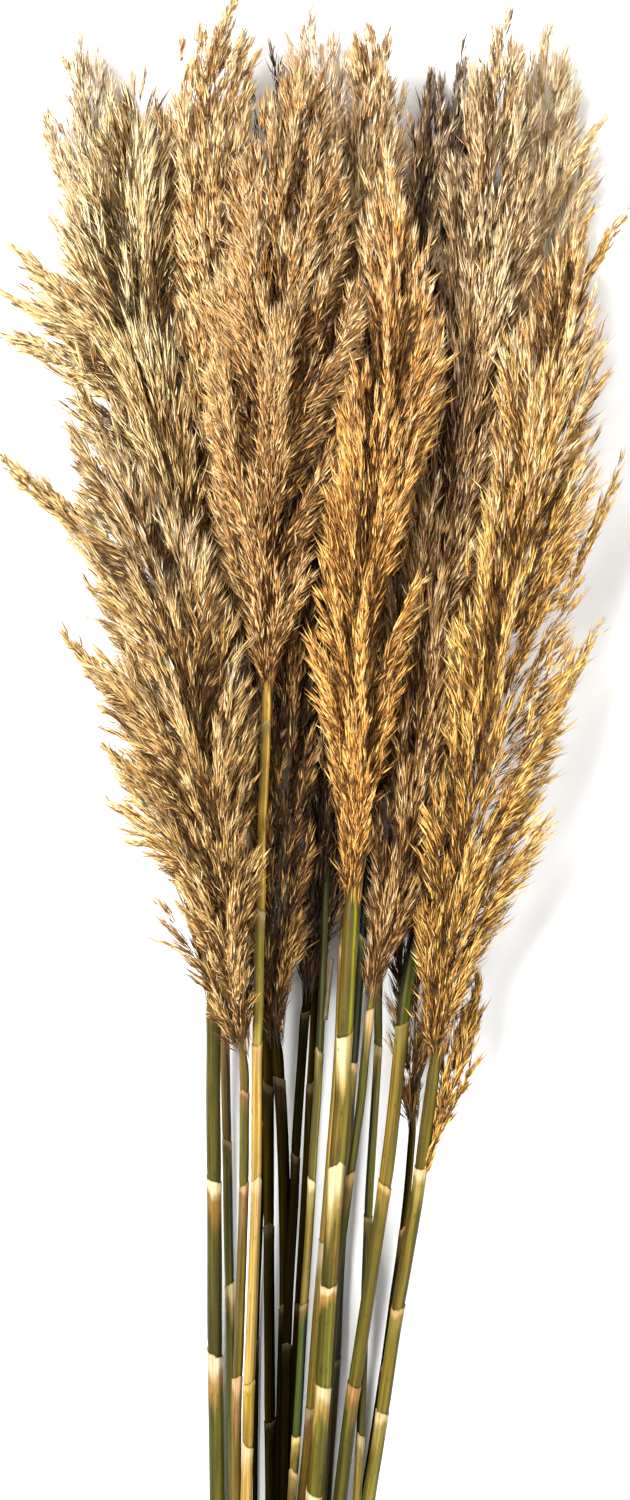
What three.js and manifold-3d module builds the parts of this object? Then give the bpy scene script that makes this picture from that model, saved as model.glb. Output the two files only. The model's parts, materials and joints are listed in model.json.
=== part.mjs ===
// A bundle of cut, dried pampas grass lying on a surface.
//
// Eighteen cut stalks, each ending in one feathery plume, lie side by side in
// three loose layers. The cut ends are towards -Y, the plume tips towards +Y,
// the bundle spreads in X and its thickness is Z. Nothing ties it.
// Every stalk is a jointed culm: a slim rod with a proud sheath lip at each
// node. Every plume is a closed envelope, widest in its upper half, that takes
// the outer shape of its panicle, flattened where it lies on the surface and
// hollowed where a neighbouring plume or stalk is pressed into it. A few side
// branches stand clear of their plumes and are pieces of their own.
// Lengths are millimetres. The origin is the middle of the bundle's footprint.
import * as THREE from 'three';
import Module from 'manifold-3d';
import { mergeVertices } from 'three/addons/utils/BufferGeometryUtils.js';

const wasm = await Module();
wasm.setup();

// ---- driving dimensions -------------------------------------------------
const GAP = 0.35;           // clearance kept between neighbouring pieces
const STALK_SIDES = 6;      // facets round a stalk
const PLUME_SIDES = 10;     // facets round a plume envelope
const SPRAY_SIDES = 6;      // facets round a side branch
const LIP = 1.08;           // sheath lip radius over stalk radius
const LIP_BELOW = 1.04;     // sheath radius just under the lip
const NECK = 0.96;          // bare culm radius just over the lip
const LIP_HEIGHT = 0.9;     // height of the lip step
const LIP_TAPER = 5.0;      // length over which the sheath settles to the stalk
const FLOOR = 0.0;          // height of the surface the bundle rests on

// Stalks: radius, heights of the nodes along Y, and the centre line [x, y, z]
// from the plume end down to the cut end.
const STALKS = {
  a: { r: 4.20, nodes: [188.5, 81.6],
    axis: [[-61.6, 297.1, 44.0], [-61.7, 237.7, 35.0], [-61.4, 191.6, 28.8], [-61.2, 151.5, 23.9], [-61.2, 89.7, 17.4], [-60.7, 52.5, 14.0], [-60.0, -9.5, 9.4], [-59.7, -52.9, 6.8], [-59.4, -96.2, 4.9]] },
  b: { r: 2.85, nodes: [281.3, 210.6, 122.6],
    axis: [[-55.9, 306.4, 16.0], [-55.0, 266.5, 13.7], [-54.5, 235.8, 12.1], [-53.7, 198.9, 10.3], [-53.0, 149.7, 8.3], [-52.1, 112.7, 7.0], [-51.5, 51.1, 5.3], [-50.6, -10.4, 4.1], [-50.1, -55.5, 3.6], [-49.8, -100.6, 3.4]] },
  c: { r: 3.00, nodes: [244.1, 187.1, 68.3],
    axis: [[-43.0, 265.5, 66.0], [-42.3, 252.1, 63.1], [-42.4, 233.8, 59.2], [-42.6, 209.2, 54.1], [-43.1, 178.5, 48.1], [-44.1, 147.6, 42.5], [-45.3, 116.7, 37.2], [-46.3, 85.7, 32.3], [-47.6, 54.6, 27.7], [-48.0, 23.5, 23.4], [-48.0, -7.7, 19.6], [-48.0, -49.2, 15.0], [-48.1, -90.8, 11.1]] },
  d: { r: 3.15, nodes: [465.4, 354.1, 274.7, 190.9, 66.3, 27.2],
    axis: [[-28.4, 484.3, 98.0], [-29.3, 453.0, 93.6], [-30.9, 420.3, 89.1], [-31.9, 390.6, 85.0], [-32.4, 360.7, 80.8], [-33.3, 330.7, 76.6], [-33.8, 300.6, 72.4], [-34.7, 270.5, 68.2], [-35.2, 228.1, 62.3], [-35.7, 179.3, 55.6], [-36.5, 154.9, 52.2], [-37.8, 118.1, 47.0], [-39.0, 87.3, 42.8], [-40.3, 56.4, 38.5], [-41.3, 12.9, 32.4], [-41.9, -5.8, 29.8], [-43.2, -52.6, 23.3], [-44.2, -99.8, 16.7]] },
  e: { r: 1.56, nodes: [223.5, 88.0],
    axis: [[-31.4, 306.4, 16.0], [-31.5, 266.5, 13.5], [-32.1, 205.0, 10.1], [-33.7, 149.6, 7.6], [-35.3, 112.6, 6.1], [-36.3, 51.0, 4.2], [-36.9, -10.7, 2.8], [-37.1, -49.7, 2.3], [-37.3, -88.6, 2.0]] },
  f: { r: 3.30, nodes: [246.5, 158.4, 39.2],
    axis: [[-28.6, 307.2, 30.0], [-28.4, 261.2, 24.6], [-28.4, 236.6, 22.0], [-28.3, 205.9, 19.0], [-28.2, 150.4, 14.2], [-28.0, 113.3, 11.5], [-27.7, 51.6, 8.0], [-27.3, -10.2, 5.5], [-27.1, -54.4, 4.4], [-26.9, -98.5, 3.9]] },
  g: { r: 3.60, nodes: [251.1, 109.0],
    axis: [[-23.2, 271.3, 46.0], [-21.8, 251.7, 43.0], [-20.6, 235.2, 40.5], [-19.4, 207.6, 36.6], [-18.5, 176.8, 32.6], [-18.1, 146.0, 28.9], [-18.4, 109.0, 25.0], [-19.2, 84.3, 22.6], [-20.1, 53.5, 20.0], [-22.0, -8.3, 15.8], [-23.0, -50.5, 13.7], [-23.7, -92.6, 12.2]] },
  h: { r: 2.85, nodes: [292.1, 203.6, 89.1],
    axis: [[-4.8, 298.7, 40.0], [-6.3, 286.6, 40.0], [-7.6, 268.4, 40.0], [-9.7, 238.2, 39.8], [-11.6, 207.8, 39.3], [-12.7, 177.5, 38.5], [-14.5, 147.1, 37.5], [-16.1, 116.6, 36.1], [-17.6, 55.4, 32.6], [-18.6, -6.2, 27.9], [-19.1, -53.7, 23.5], [-19.6, -101.6, 18.4]] },
  i: { r: 2.40, nodes: [245.6, 111.4],
    axis: [[0.9, 318.6, 16.0], [0.0, 297.2, 14.7], [-1.5, 266.5, 13.0], [-3.4, 235.8, 11.4], [-4.7, 205.0, 9.9], [-6.4, 174.2, 8.6], [-8.1, 143.4, 7.5], [-10.1, 112.7, 6.4], [-11.9, 81.9, 5.5], [-13.8, 51.1, 4.7], [-16.3, -10.5, 3.6], [-17.5, -50.5, 3.1], [-18.5, -90.5, 2.9]] },
  j: { r: 2.52, nodes: [405.4, 267.0, 189.9, 115.1, 34.5, 11.3],
    axis: [[8.7, 425.9, 50.0], [7.4, 389.7, 49.0], [6.5, 359.5, 48.1], [5.4, 329.3, 47.2], [4.2, 299.0, 46.2], [2.7, 267.0, 45.1], [1.2, 238.5, 44.1], [-0.9, 208.1, 42.9], [-2.4, 177.8, 41.7], [-4.2, 147.4, 40.4], [-6.4, 116.9, 39.1], [-8.2, 86.5, 37.7], [-9.8, 55.9, 36.3], [-11.8, 25.4, 34.8], [-14.1, -5.3, 33.2], [-16.6, -48.7, 30.9], [-18.5, -92.3, 28.5]] },
  l: { r: 4.80, nodes: [279.8, 198.6, 127.8, 65.2, -1.7],
    axis: [[21.8, 356.8, 72.0], [20.7, 336.4, 69.6], [19.5, 312.3, 66.7], [18.9, 300.3, 65.3], [17.5, 270.1, 61.7], [16.0, 239.9, 58.2], [13.8, 209.6, 54.6], [11.9, 179.2, 51.0], [9.8, 148.7, 47.4], [7.8, 118.0, 43.7], [6.0, 87.3, 40.1], [4.5, 56.5, 36.5], [1.8, 25.6, 32.8], [-0.9, -5.4, 29.1], [-4.0, -52.1, 23.6], [-6.5, -99.2, 18.0]] },
  m: { r: 2.58, nodes: [336.0, 258.7, 165.3, 75.9],
    axis: [[33.2, 389.1, 26.0], [30.9, 358.6, 23.4], [29.3, 336.6, 21.6], [27.2, 309.7, 19.6], [25.6, 285.1, 17.8], [23.7, 258.7, 16.0], [22.0, 236.0, 14.5], [20.2, 205.3, 12.7], [18.2, 174.5, 11.0], [16.2, 143.7, 9.5], [14.7, 112.9, 8.2], [13.5, 82.1, 7.0], [11.7, 51.2, 5.9], [9.5, 20.4, 5.0], [7.4, -10.4, 4.3], [5.0, -55.5, 3.5], [3.1, -100.7, 3.1]] },
  n: { r: 2.76, nodes: [294.6, 191.9],
    axis: [[33.6, 295.8, 52.0], [32.3, 284.2, 50.1], [30.6, 269.0, 47.8], [27.8, 238.4, 43.2], [23.6, 207.8, 38.9], [19.4, 177.1, 35.0], [15.5, 146.4, 31.3], [12.2, 115.6, 27.9], [9.7, 84.8, 24.8], [7.9, 53.9, 22.0], [4.3, -7.8, 17.3], [2.4, -50.5, 14.7], [0.8, -93.2, 12.8]] },
  o: { r: 2.64, nodes: [271.2, 166.2, 30.4],
    axis: [[39.0, 310.2, 30.0], [38.4, 271.2, 27.6], [36.6, 237.1, 25.6], [34.7, 206.5, 23.9], [32.9, 176.0, 22.2], [31.7, 145.3, 20.5], [30.7, 114.7, 18.9], [29.6, 83.9, 17.3], [28.6, 53.2, 15.8], [27.5, 22.3, 14.3], [25.7, -8.6, 12.8], [23.6, -55.5, 10.7], [22.0, -102.7, 8.7]] },
  p: { r: 3.90, nodes: [283.4, 186.1, 64.2],
    axis: [[66.3, 359.2, 40.0], [61.7, 341.0, 39.4], [59.5, 328.9, 39.0], [56.5, 310.7, 38.3], [54.7, 298.6, 37.8], [51.5, 268.3, 36.5], [48.5, 237.9, 35.0], [45.2, 207.4, 33.4], [41.1, 177.0, 31.7], [36.6, 146.4, 29.8], [32.0, 115.8, 27.7], [27.4, 85.1, 25.5], [22.6, 54.3, 23.2], [18.8, 23.4, 20.7], [15.2, -7.6, 18.0], [11.5, -52.2, 13.9], [8.4, -97.0, 9.5]] },
  r: { r: 3.72, nodes: [199.3, 113.1, 48.2],
    axis: [[71.7, 260.4, 62.0], [69.1, 239.7, 58.0], [67.1, 224.4, 55.2], [65.2, 209.1, 52.5], [61.3, 178.4, 47.3], [56.2, 147.6, 42.5], [51.1, 116.8, 38.0], [46.4, 85.9, 33.9], [42.1, 55.0, 30.1], [37.6, 24.0, 26.7], [32.6, -7.0, 23.7], [27.4, -49.3, 20.2], [23.3, -91.6, 17.3]] },
  s: { r: 2.28, nodes: [156.9, 73.3],
    axis: [[59.3, 219.9, 26.0], [58.4, 206.4, 24.1], [55.8, 175.5, 20.2], [52.2, 144.6, 16.7], [47.8, 113.6, 13.6], [43.7, 82.6, 10.8], [39.2, 51.6, 8.5], [34.6, 20.7, 6.5], [29.9, -10.3, 5.0], [25.3, -51.0, 3.5], [21.6, -91.5, 2.8]] },
  t: { r: 2.70, nodes: [330.5, 149.7, 48.7],
    axis: [[18.2, 340.8, 34.0], [16.8, 322.6, 33.0], [14.3, 267.7, 29.9], [12.2, 237.2, 28.2], [9.7, 206.7, 26.4], [7.3, 176.1, 24.6], [4.6, 145.4, 22.7], [1.8, 114.7, 20.7], [-0.4, 83.9, 18.8], [-2.9, 48.7, 16.5], [-5.2, 22.2, 14.7], [-8.3, -8.8, 12.6], [-11.3, -50.2, 9.7], [-13.8, -91.7, 6.7]] },
};

// Plumes: stations [x, y, z, half width, half depth] from the stalk to the tip.
const PLUMES = {
  a: [[-61.6, 297.1, 44.0, 4.3, 4.3], [-62.7, 323.3, 48.3, 8.4, 12.0], [-65.5, 389.9, 57.5, 15.6, 20.0], [-72.6, 480.0, 63.1, 24.0, 22.0], [-80.9, 551.8, 66.0, 32.3, 23.0], [-90.5, 611.7, 66.0, 37.1, 24.0], [-100.0, 659.7, 66.0, 43.1, 25.0], [-107.2, 707.6, 66.0, 44.3, 25.0], [-110.2, 749.5, 66.0, 38.3, 23.0], [-109.0, 785.5, 66.0, 28.8, 19.0], [-104.8, 815.4, 66.0, 16.8, 12.0], [-100.0, 839.4, 66.0, 2.4, 2.0]],
  b: [[-55.9, 306.4, 16.0, 3.0, 2.9], [-56.8, 327.9, 17.3, 6.7, 10.0], [-61.6, 389.0, 20.6, 12.2, 17.0], [-75.0, 492.7, 22.8, 18.3, 22.0], [-94.4, 614.5, 24.0, 21.9, 23.0], [-115.1, 724.1, 24.0, 21.9, 23.0], [-128.5, 785.0, 24.0, 20.7, 20.0], [-135.2, 827.7, 24.0, 15.8, 15.0], [-139.5, 858.1, 24.0, 8.5, 9.0], [-141.9, 880.0, 24.0, 1.8, 2.0]],
  c: [[-43.0, 265.5, 66.0, 3.1, 3.1], [-44.9, 278.9, 69.6, 6.6, 8.0], [-48.9, 300.9, 77.1, 13.7, 14.0], [-53.5, 331.2, 87.4, 19.0, 18.0], [-56.8, 361.2, 96.4, 23.7, 21.0], [-61.3, 391.0, 104.6, 27.1, 22.0], [-66.5, 420.6, 110.8, 31.8, 22.0], [-72.3, 455.9, 112.0, 34.1, 22.0], [-78.8, 491.2, 112.0, 34.1, 22.0], [-87.0, 526.4, 112.0, 31.8, 21.0], [-97.6, 561.7, 112.0, 27.0, 19.0], [-110.0, 591.1, 112.0, 20.0, 15.0], [-124.1, 615.8, 112.0, 9.4, 8.0], [-133.5, 632.3, 112.0, 1.8, 2.0]],
  d: [[-28.4, 484.3, 98.0, 3.2, 3.2], [-27.8, 498.4, 100.3, 6.5, 8.0], [-26.6, 517.3, 103.4, 13.0, 14.0], [-26.5, 538.4, 106.3, 19.4, 18.0], [-27.1, 567.7, 109.0, 24.1, 21.0], [-27.6, 597.0, 111.2, 29.4, 23.0], [-26.4, 626.3, 113.3, 34.7, 24.0], [-23.5, 655.6, 114.0, 38.2, 24.0], [-20.6, 685.0, 114.0, 40.5, 24.0], [-18.2, 714.4, 114.0, 38.8, 24.0], [-15.9, 743.8, 114.0, 35.3, 23.0], [-13.5, 773.1, 114.0, 29.4, 21.0], [-11.2, 802.5, 114.0, 22.3, 17.0], [-8.8, 826.0, 114.0, 12.9, 11.0], [-6.5, 846.6, 114.0, 1.8, 2.0]],
  e: [[-31.4, 306.4, 16.0, 1.6, 1.6], [-31.2, 321.7, 17.0, 5.5, 8.0], [-32.3, 382.9, 20.6, 11.0, 15.0], [-32.3, 480.5, 22.7, 14.6, 20.0], [-29.8, 602.3, 24.0, 17.1, 22.0], [-27.4, 705.8, 24.0, 17.1, 22.0], [-25.6, 785.0, 24.0, 14.6, 18.0], [-26.2, 827.7, 24.0, 11.0, 13.0], [-27.4, 853.2, 24.0, 5.5, 7.0], [-28.6, 872.7, 24.0, 1.5, 2.0]],
  f: [[-28.6, 307.2, 30.0, 3.4, 3.4], [-29.1, 334.7, 33.9, 6.1, 9.0], [-32.0, 389.5, 42.9, 12.1, 16.0], [-37.9, 480.1, 54.4, 18.1, 20.0], [-45.0, 570.0, 62.0, 22.8, 22.0], [-52.2, 660.0, 62.0, 26.4, 23.0], [-58.2, 732.0, 62.0, 28.8, 23.0], [-62.4, 786.0, 62.0, 30.0, 22.0], [-64.2, 822.0, 62.0, 28.8, 20.0], [-61.8, 849.0, 62.0, 22.8, 15.0], [-55.8, 871.2, 62.0, 12.0, 9.0], [-47.4, 895.2, 62.0, 1.8, 2.0]],
  g: [[-23.2, 271.3, 46.0, 3.7, 3.7], [-24.7, 284.7, 48.5, 7.2, 8.0], [-25.3, 311.6, 54.5, 10.8, 13.0], [-23.4, 341.9, 60.6, 13.8, 16.0], [-20.4, 372.1, 65.7, 16.2, 18.0], [-17.3, 408.1, 70.9, 17.3, 19.0], [-14.9, 456.0, 72.0, 17.9, 20.0], [-14.9, 509.8, 72.0, 17.3, 19.0], [-17.3, 563.5, 72.0, 14.3, 15.0], [-19.7, 599.4, 72.0, 6.0, 7.0], [-20.9, 617.3, 72.0, 1.8, 2.0]],
  h: [[-4.8, 298.7, 40.0, 2.9, 2.9], [-3.6, 310.8, 40.0, 4.8, 8.0], [-0.6, 332.0, 40.4, 8.5, 12.0], [1.8, 350.2, 41.0, 12.7, 15.0], [3.0, 377.4, 42.2, 15.1, 17.0], [2.4, 413.7, 43.5, 16.3, 19.0], [0.0, 456.0, 44.0, 18.1, 20.0], [-3.0, 510.4, 44.0, 18.1, 20.0], [-4.8, 564.8, 44.0, 14.5, 16.0], [-6.0, 601.1, 44.0, 7.3, 8.0], [-6.6, 622.2, 44.0, 1.8, 2.0]],
  i: [[0.9, 318.6, 16.0, 2.5, 2.4], [1.8, 346.2, 17.8, 5.5, 8.0], [3.7, 389.0, 20.2, 9.8, 13.0], [3.0, 456.1, 22.0, 14.6, 18.0], [1.2, 541.4, 23.6, 18.3, 20.0], [0.6, 632.7, 24.0, 20.7, 21.0], [1.8, 711.9, 24.0, 23.1, 21.0], [3.0, 772.8, 24.0, 24.4, 20.0], [3.7, 821.6, 24.0, 21.9, 18.0], [2.4, 852.0, 24.0, 14.6, 13.0], [-0.6, 889.8, 24.0, 1.8, 2.0]],
  j: [[8.7, 425.9, 50.0, 2.6, 2.6], [10.2, 456.0, 51.5, 6.0, 8.0], [13.8, 504.1, 55.5, 12.0, 14.0], [17.4, 564.1, 60.8, 16.8, 18.0], [21.0, 629.9, 64.0, 19.2, 20.0], [24.6, 701.8, 64.0, 20.4, 21.0], [28.8, 767.7, 64.0, 19.8, 20.0], [32.4, 809.7, 64.0, 18.0, 18.0], [34.2, 839.7, 64.0, 15.6, 15.0], [33.6, 860.7, 64.0, 8.4, 9.0], [31.8, 878.7, 64.0, 1.5, 2.0]],
  l: [[21.8, 356.8, 72.0, 4.9, 4.9], [22.7, 372.4, 74.5, 6.0, 8.0], [23.8, 393.4, 79.3, 10.1, 13.0], [25.0, 420.3, 86.4, 14.9, 17.0], [25.5, 450.0, 94.3, 19.0, 20.0], [26.0, 479.5, 101.8, 22.4, 22.0], [27.1, 508.9, 108.5, 24.7, 23.0], [28.8, 538.2, 113.2, 27.0, 24.0], [31.7, 567.5, 114.0, 28.8, 24.0], [34.7, 596.9, 114.0, 28.8, 24.0], [38.2, 626.3, 114.0, 28.2, 24.0], [42.3, 655.6, 114.0, 28.2, 23.0], [45.2, 685.0, 114.0, 27.0, 22.0], [46.4, 714.4, 114.0, 22.9, 20.0], [45.2, 743.8, 114.0, 17.0, 16.0], [42.9, 770.2, 114.0, 10.0, 10.0], [41.1, 793.7, 114.0, 1.8, 2.0]],
  m: [[33.2, 389.1, 26.0, 2.7, 2.6], [37.1, 425.7, 28.5, 6.1, 9.0], [45.6, 492.6, 27.5, 13.4, 16.0], [55.4, 565.7, 24.3, 18.3, 20.0], [64.0, 632.7, 24.0, 20.7, 22.0], [71.3, 693.6, 24.0, 23.1, 22.0], [76.1, 748.5, 24.0, 23.1, 21.0], [79.8, 791.1, 24.0, 21.9, 19.0], [83.4, 827.7, 24.0, 17.1, 15.0], [86.5, 849.0, 24.0, 10.4, 10.0], [88.9, 869.1, 24.0, 1.8, 2.0]],
  n: [[33.6, 295.8, 52.0, 2.8, 2.8], [36.1, 310.4, 54.6, 5.4, 8.0], [40.9, 329.8, 58.5, 9.0, 12.0], [46.8, 351.0, 62.2, 12.6, 15.0], [52.1, 375.1, 65.3, 16.2, 17.0], [55.7, 402.1, 67.9, 18.6, 19.0], [58.6, 432.1, 70.6, 19.7, 20.0], [61.5, 467.9, 73.5, 20.3, 21.0], [64.5, 515.7, 74.0, 20.3, 21.0], [67.5, 563.5, 74.0, 20.3, 20.0], [71.1, 617.2, 74.0, 18.5, 18.0], [74.0, 665.0, 74.0, 14.3, 14.0], [76.4, 700.8, 74.0, 6.0, 7.0], [77.6, 718.7, 74.0, 1.8, 2.0]],
  o: [[39.0, 310.2, 30.0, 2.7, 2.7], [45.5, 359.0, 35.6, 6.7, 10.0], [56.1, 431.9, 47.7, 13.3, 17.0], [70.2, 516.0, 60.7, 19.2, 21.0], [83.3, 599.9, 64.0, 22.8, 23.0], [93.5, 665.8, 64.0, 25.8, 23.0], [100.7, 725.8, 64.0, 27.0, 23.0], [104.9, 773.7, 64.0, 26.4, 21.0], [108.5, 815.7, 64.0, 22.8, 18.0], [111.5, 845.7, 64.0, 14.4, 12.0], [115.1, 878.1, 64.0, 1.8, 2.0]],
  p: [[66.3, 359.2, 40.0, 4.0, 4.0], [76.3, 395.5, 39.9, 7.3, 10.0], [86.7, 450.0, 35.8, 13.3, 16.0], [99.7, 516.9, 28.1, 19.5, 21.0], [112.1, 584.0, 24.1, 23.1, 23.0], [121.8, 651.0, 24.0, 25.6, 23.0], [129.1, 711.9, 24.0, 26.8, 23.0], [134.0, 760.7, 24.0, 25.6, 21.0], [137.1, 803.3, 24.0, 21.9, 18.0], [140.1, 839.8, 24.0, 14.6, 13.0], [143.8, 880.6, 24.0, 1.8, 2.0]],
  r: [[71.7, 260.4, 62.0, 3.8, 3.8], [73.7, 276.2, 65.5, 7.8, 9.0], [77.1, 300.6, 71.8, 13.1, 15.0], [81.6, 330.8, 79.6, 19.7, 19.0], [86.8, 360.9, 86.0, 25.0, 21.0], [92.5, 390.7, 91.6, 27.3, 23.0], [98.2, 420.4, 96.9, 29.0, 24.0], [103.3, 450.0, 101.6, 30.7, 24.0], [108.0, 479.5, 104.0, 31.3, 24.0], [112.7, 509.0, 104.0, 30.7, 24.0], [118.0, 538.5, 104.0, 30.1, 24.0], [123.3, 568.0, 104.0, 28.9, 24.0], [128.6, 597.5, 104.0, 28.3, 23.0], [133.3, 627.0, 104.0, 27.1, 22.0], [138.0, 656.5, 104.0, 24.8, 21.0], [142.2, 686.0, 104.0, 21.2, 19.0], [146.3, 712.5, 104.0, 15.3, 15.0], [149.8, 733.2, 104.0, 8.8, 10.0], [152.8, 752.0, 104.0, 1.8, 2.0]],
  s: [[59.3, 219.9, 26.0, 2.4, 2.3], [59.3, 237.2, 28.1, 5.5, 8.0], [59.6, 261.6, 29.5, 9.1, 12.0], [61.4, 291.9, 28.4, 11.6, 15.0], [64.5, 328.3, 26.3, 13.4, 17.0], [69.4, 370.9, 26.0, 15.8, 19.0], [74.9, 419.6, 26.0, 17.0, 20.0], [80.3, 468.3, 26.0, 15.8, 18.0], [85.2, 510.9, 26.0, 9.7, 11.0], [88.3, 535.2, 26.0, 1.8, 2.0]],
  t: [[18.2, 340.8, 34.0, 2.8, 2.8], [22.4, 389.4, 37.9, 6.1, 9.0], [32.0, 480.2, 45.5, 13.3, 16.0], [40.4, 564.5, 50.0, 16.9, 19.0], [48.2, 642.9, 50.0, 19.3, 21.0], [56.1, 709.2, 50.0, 19.3, 20.0], [62.1, 763.5, 50.0, 16.9, 18.0], [65.7, 805.7, 50.0, 13.3, 14.0], [68.7, 844.9, 50.0, 1.8, 2.0]],
};

// Side branches that stand clear of their plume, same stations; the first letter
// of the name is the plume they grow from.
const SPRAYS = {
  a1: [[-122.4, 663.8, 74.0, 6.6, 5.3], [-143.2, 678.0, 75.5, 7.8, 6.2], [-161.0, 687.4, 77.0, 6.6, 5.3], [-174.6, 692.6, 78.5, 4.2, 3.4], [-184.7, 695.4, 80.0, 1.2, 1.0]],
  a2: [[-138.0, 691.2, 62.0, 5.4, 4.3], [-157.8, 706.3, 61.3, 5.4, 4.3], [-171.1, 715.3, 60.7, 3.6, 2.9], [-181.9, 720.8, 60.0, 1.0, 0.8]],
  a3: [[-129.5, 701.8, 76.0, 7.2, 5.8], [-149.6, 722.4, 78.0, 7.2, 5.8], [-163.8, 734.7, 80.0, 5.4, 4.3], [-175.0, 744.6, 82.0, 1.2, 1.0]],
  b1: [[-140.7, 776.5, 24.0, 5.4, 4.3], [-151.0, 798.9, 24.7, 5.4, 4.3], [-156.5, 814.1, 25.3, 3.6, 2.9], [-161.3, 829.2, 26.0, 1.0, 0.8]],
  c1: [[-97.3, 538.5, 104.0, 9.0, 7.2], [-121.0, 564.5, 102.4, 9.0, 7.2], [-143.5, 585.3, 100.8, 7.8, 6.2], [-161.4, 601.9, 99.2, 6.0, 4.8], [-175.1, 614.4, 97.6, 3.6, 2.9], [-184.1, 622.2, 96.0, 1.0, 0.8]],
  c2: [[-96.3, 457.1, 100.0, 7.2, 5.8], [-114.8, 479.0, 97.3, 7.2, 5.8], [-130.3, 497.4, 94.7, 5.4, 4.3], [-145.2, 514.0, 92.0, 1.2, 1.0]],
  c3: [[-88.8, 418.6, 96.0, 7.2, 5.8], [-105.5, 434.0, 93.0, 6.0, 4.8], [-120.4, 447.6, 90.0, 1.2, 1.0]],
  p1: [[144.0, 778.1, 30.0, 5.4, 4.3], [153.1, 798.6, 31.3, 4.8, 3.8], [161.5, 813.6, 32.7, 3.6, 2.9], [169.9, 825.6, 34.0, 1.0, 0.8]],
  r1: [[152.4, 714.7, 100.0, 4.8, 3.8], [163.8, 736.1, 98.7, 3.6, 2.9], [172.1, 751.7, 97.3, 3.0, 2.4], [183.5, 767.2, 96.0, 0.8, 0.8]],
  r2: [[143.3, 716.4, 84.0, 4.2, 3.4], [151.7, 739.7, 83.3, 3.6, 2.9], [157.7, 753.5, 82.7, 2.4, 1.9], [162.5, 766.1, 82.0, 0.8, 0.8]],
  r4: [[151.9, 547.5, 100.0, 5.4, 4.3], [164.9, 580.1, 98.7, 4.2, 3.4], [173.3, 600.2, 97.3, 3.0, 2.4], [179.9, 616.9, 96.0, 0.8, 0.8]],
  r5: [[136.0, 460.6, 98.0, 5.4, 4.3], [148.6, 485.5, 96.0, 4.8, 3.8], [157.0, 503.3, 94.0, 3.6, 2.9], [164.2, 519.4, 92.0, 1.0, 0.8]],
  r6: [[68.7, 205.4, 52.0, 2.4, 1.9], [74.7, 226.0, 52.8, 6.0, 4.8], [81.9, 249.5, 53.6, 9.6, 7.7], [87.9, 270.7, 54.4, 9.0, 7.2], [93.9, 292.4, 55.2, 4.8, 3.8], [97.4, 306.9, 56.0, 1.2, 1.0]],
};

// Dry leaf scraps: thin blades [x, y, z] centre line, width, thickness.
const SCRAPS = {
  leaf_stub: { w: 3.0, t: 0.9, axis: [[6.9, 293.3, 51.5], [8.4, 305.4, 52.0], [9.6, 315.1, 52.5], [11.0, 324.2, 53.5]] },
  leaf_tuft_upper: { w: 2.4, t: 0.8, axis: [[49.2, 283.5, 30], [47.0, 290.9, 31], [44.9, 298.3, 33], [43.0, 305.7, 36]] },
  leaf_tuft_lower: { w: 2.2, t: 0.8, axis: [[46.5, 266.3, 28], [45.3, 270.7, 29.5], [44.2, 275.7, 31.5], [43.6, 280.7, 34]] },
};

// Plumes from the top of the heap to the bottom: an upper plume keeps its full
// shape, and the ones under it are hollowed to make room.
const HEAP = ['d', 'l', 'c', 'r', 'a', 'n', 'g', 'o', 'j', 'f', 'h', 't', 's', 'p', 'm', 'i', 'b', 'e'];

const COLORS = {
  stalk: { a: 0x83803c, b: 0x6b5a34, c: 0x8a6a45, d: 0xc9a468, e: 0x4b3d1c, f: 0x3d3417, g: 0x37301c,
    h: 0x25210f, i: 0x5a4320, j: 0x6f7a2c, l: 0x9a9048, t: 0x8a6f42, m: 0x4b4a1e, n: 0x8b7c3a,
    o: 0x5f6432, p: 0x8c7f2a, r: 0x88813f, s: 0x3f3520 },
  plume: { a: 0xcdb780, b: 0xc6a26c, c: 0xb08a58, d: 0xb99667, e: 0x7d684e, f: 0xb8935f, g: 0xa57a45,
    h: 0x5c452b, i: 0xb0906a, j: 0xb58d58, l: 0xcf9f58, t: 0x8d7350, m: 0x8b7355, n: 0x9a7a4c,
    o: 0xa98a62, p: 0xc29c62, r: 0xcb9d58, s: 0x7a5f3e },
  scrap: 0x9a7b4a,
};

// ---- geometry helpers ---------------------------------------------------
// Closed skin over a list of rings (each the same number of points, ordered
// counter-clockwise seen from the far end), with a fan cap at both ends.
function skin(rings) {
  const n = rings[0].length;
  const pos = [];
  for (const ring of rings) for (const p of ring) pos.push(p[0], p[1], p[2]);
  const centre = (ring) => {
    const c = [0, 0, 0];
    for (const p of ring) for (let i = 0; i < 3; i++) c[i] += p[i] / n;
    return c;
  };
  const first = pos.length / 3;
  pos.push(...centre(rings[0]));
  pos.push(...centre(rings[rings.length - 1]));
  const idx = [];
  for (let k = 0; k + 1 < rings.length; k++) {
    for (let i = 0; i < n; i++) {
      const a = k * n + i;
      const b = k * n + ((i + 1) % n);
      idx.push(a, b, b + n, a, b + n, a + n);
    }
  }
  const last = (rings.length - 1) * n;
  for (let i = 0; i < n; i++) {
    idx.push(first, (i + 1) % n, i);
    idx.push(first + 1, last + i, last + ((i + 1) % n));
  }
  const geometry = new THREE.BufferGeometry();
  geometry.setAttribute('position', new THREE.Float32BufferAttribute(pos, 3));
  geometry.setIndex(idx);
  return geometry;
}

function tangentAt(points, k) {
  const a = points[Math.max(k - 1, 0)];
  const b = points[Math.min(k + 1, points.length - 1)];
  return new THREE.Vector3(b[0] - a[0], b[1] - a[1], b[2] - a[2]).normalize();
}

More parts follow.
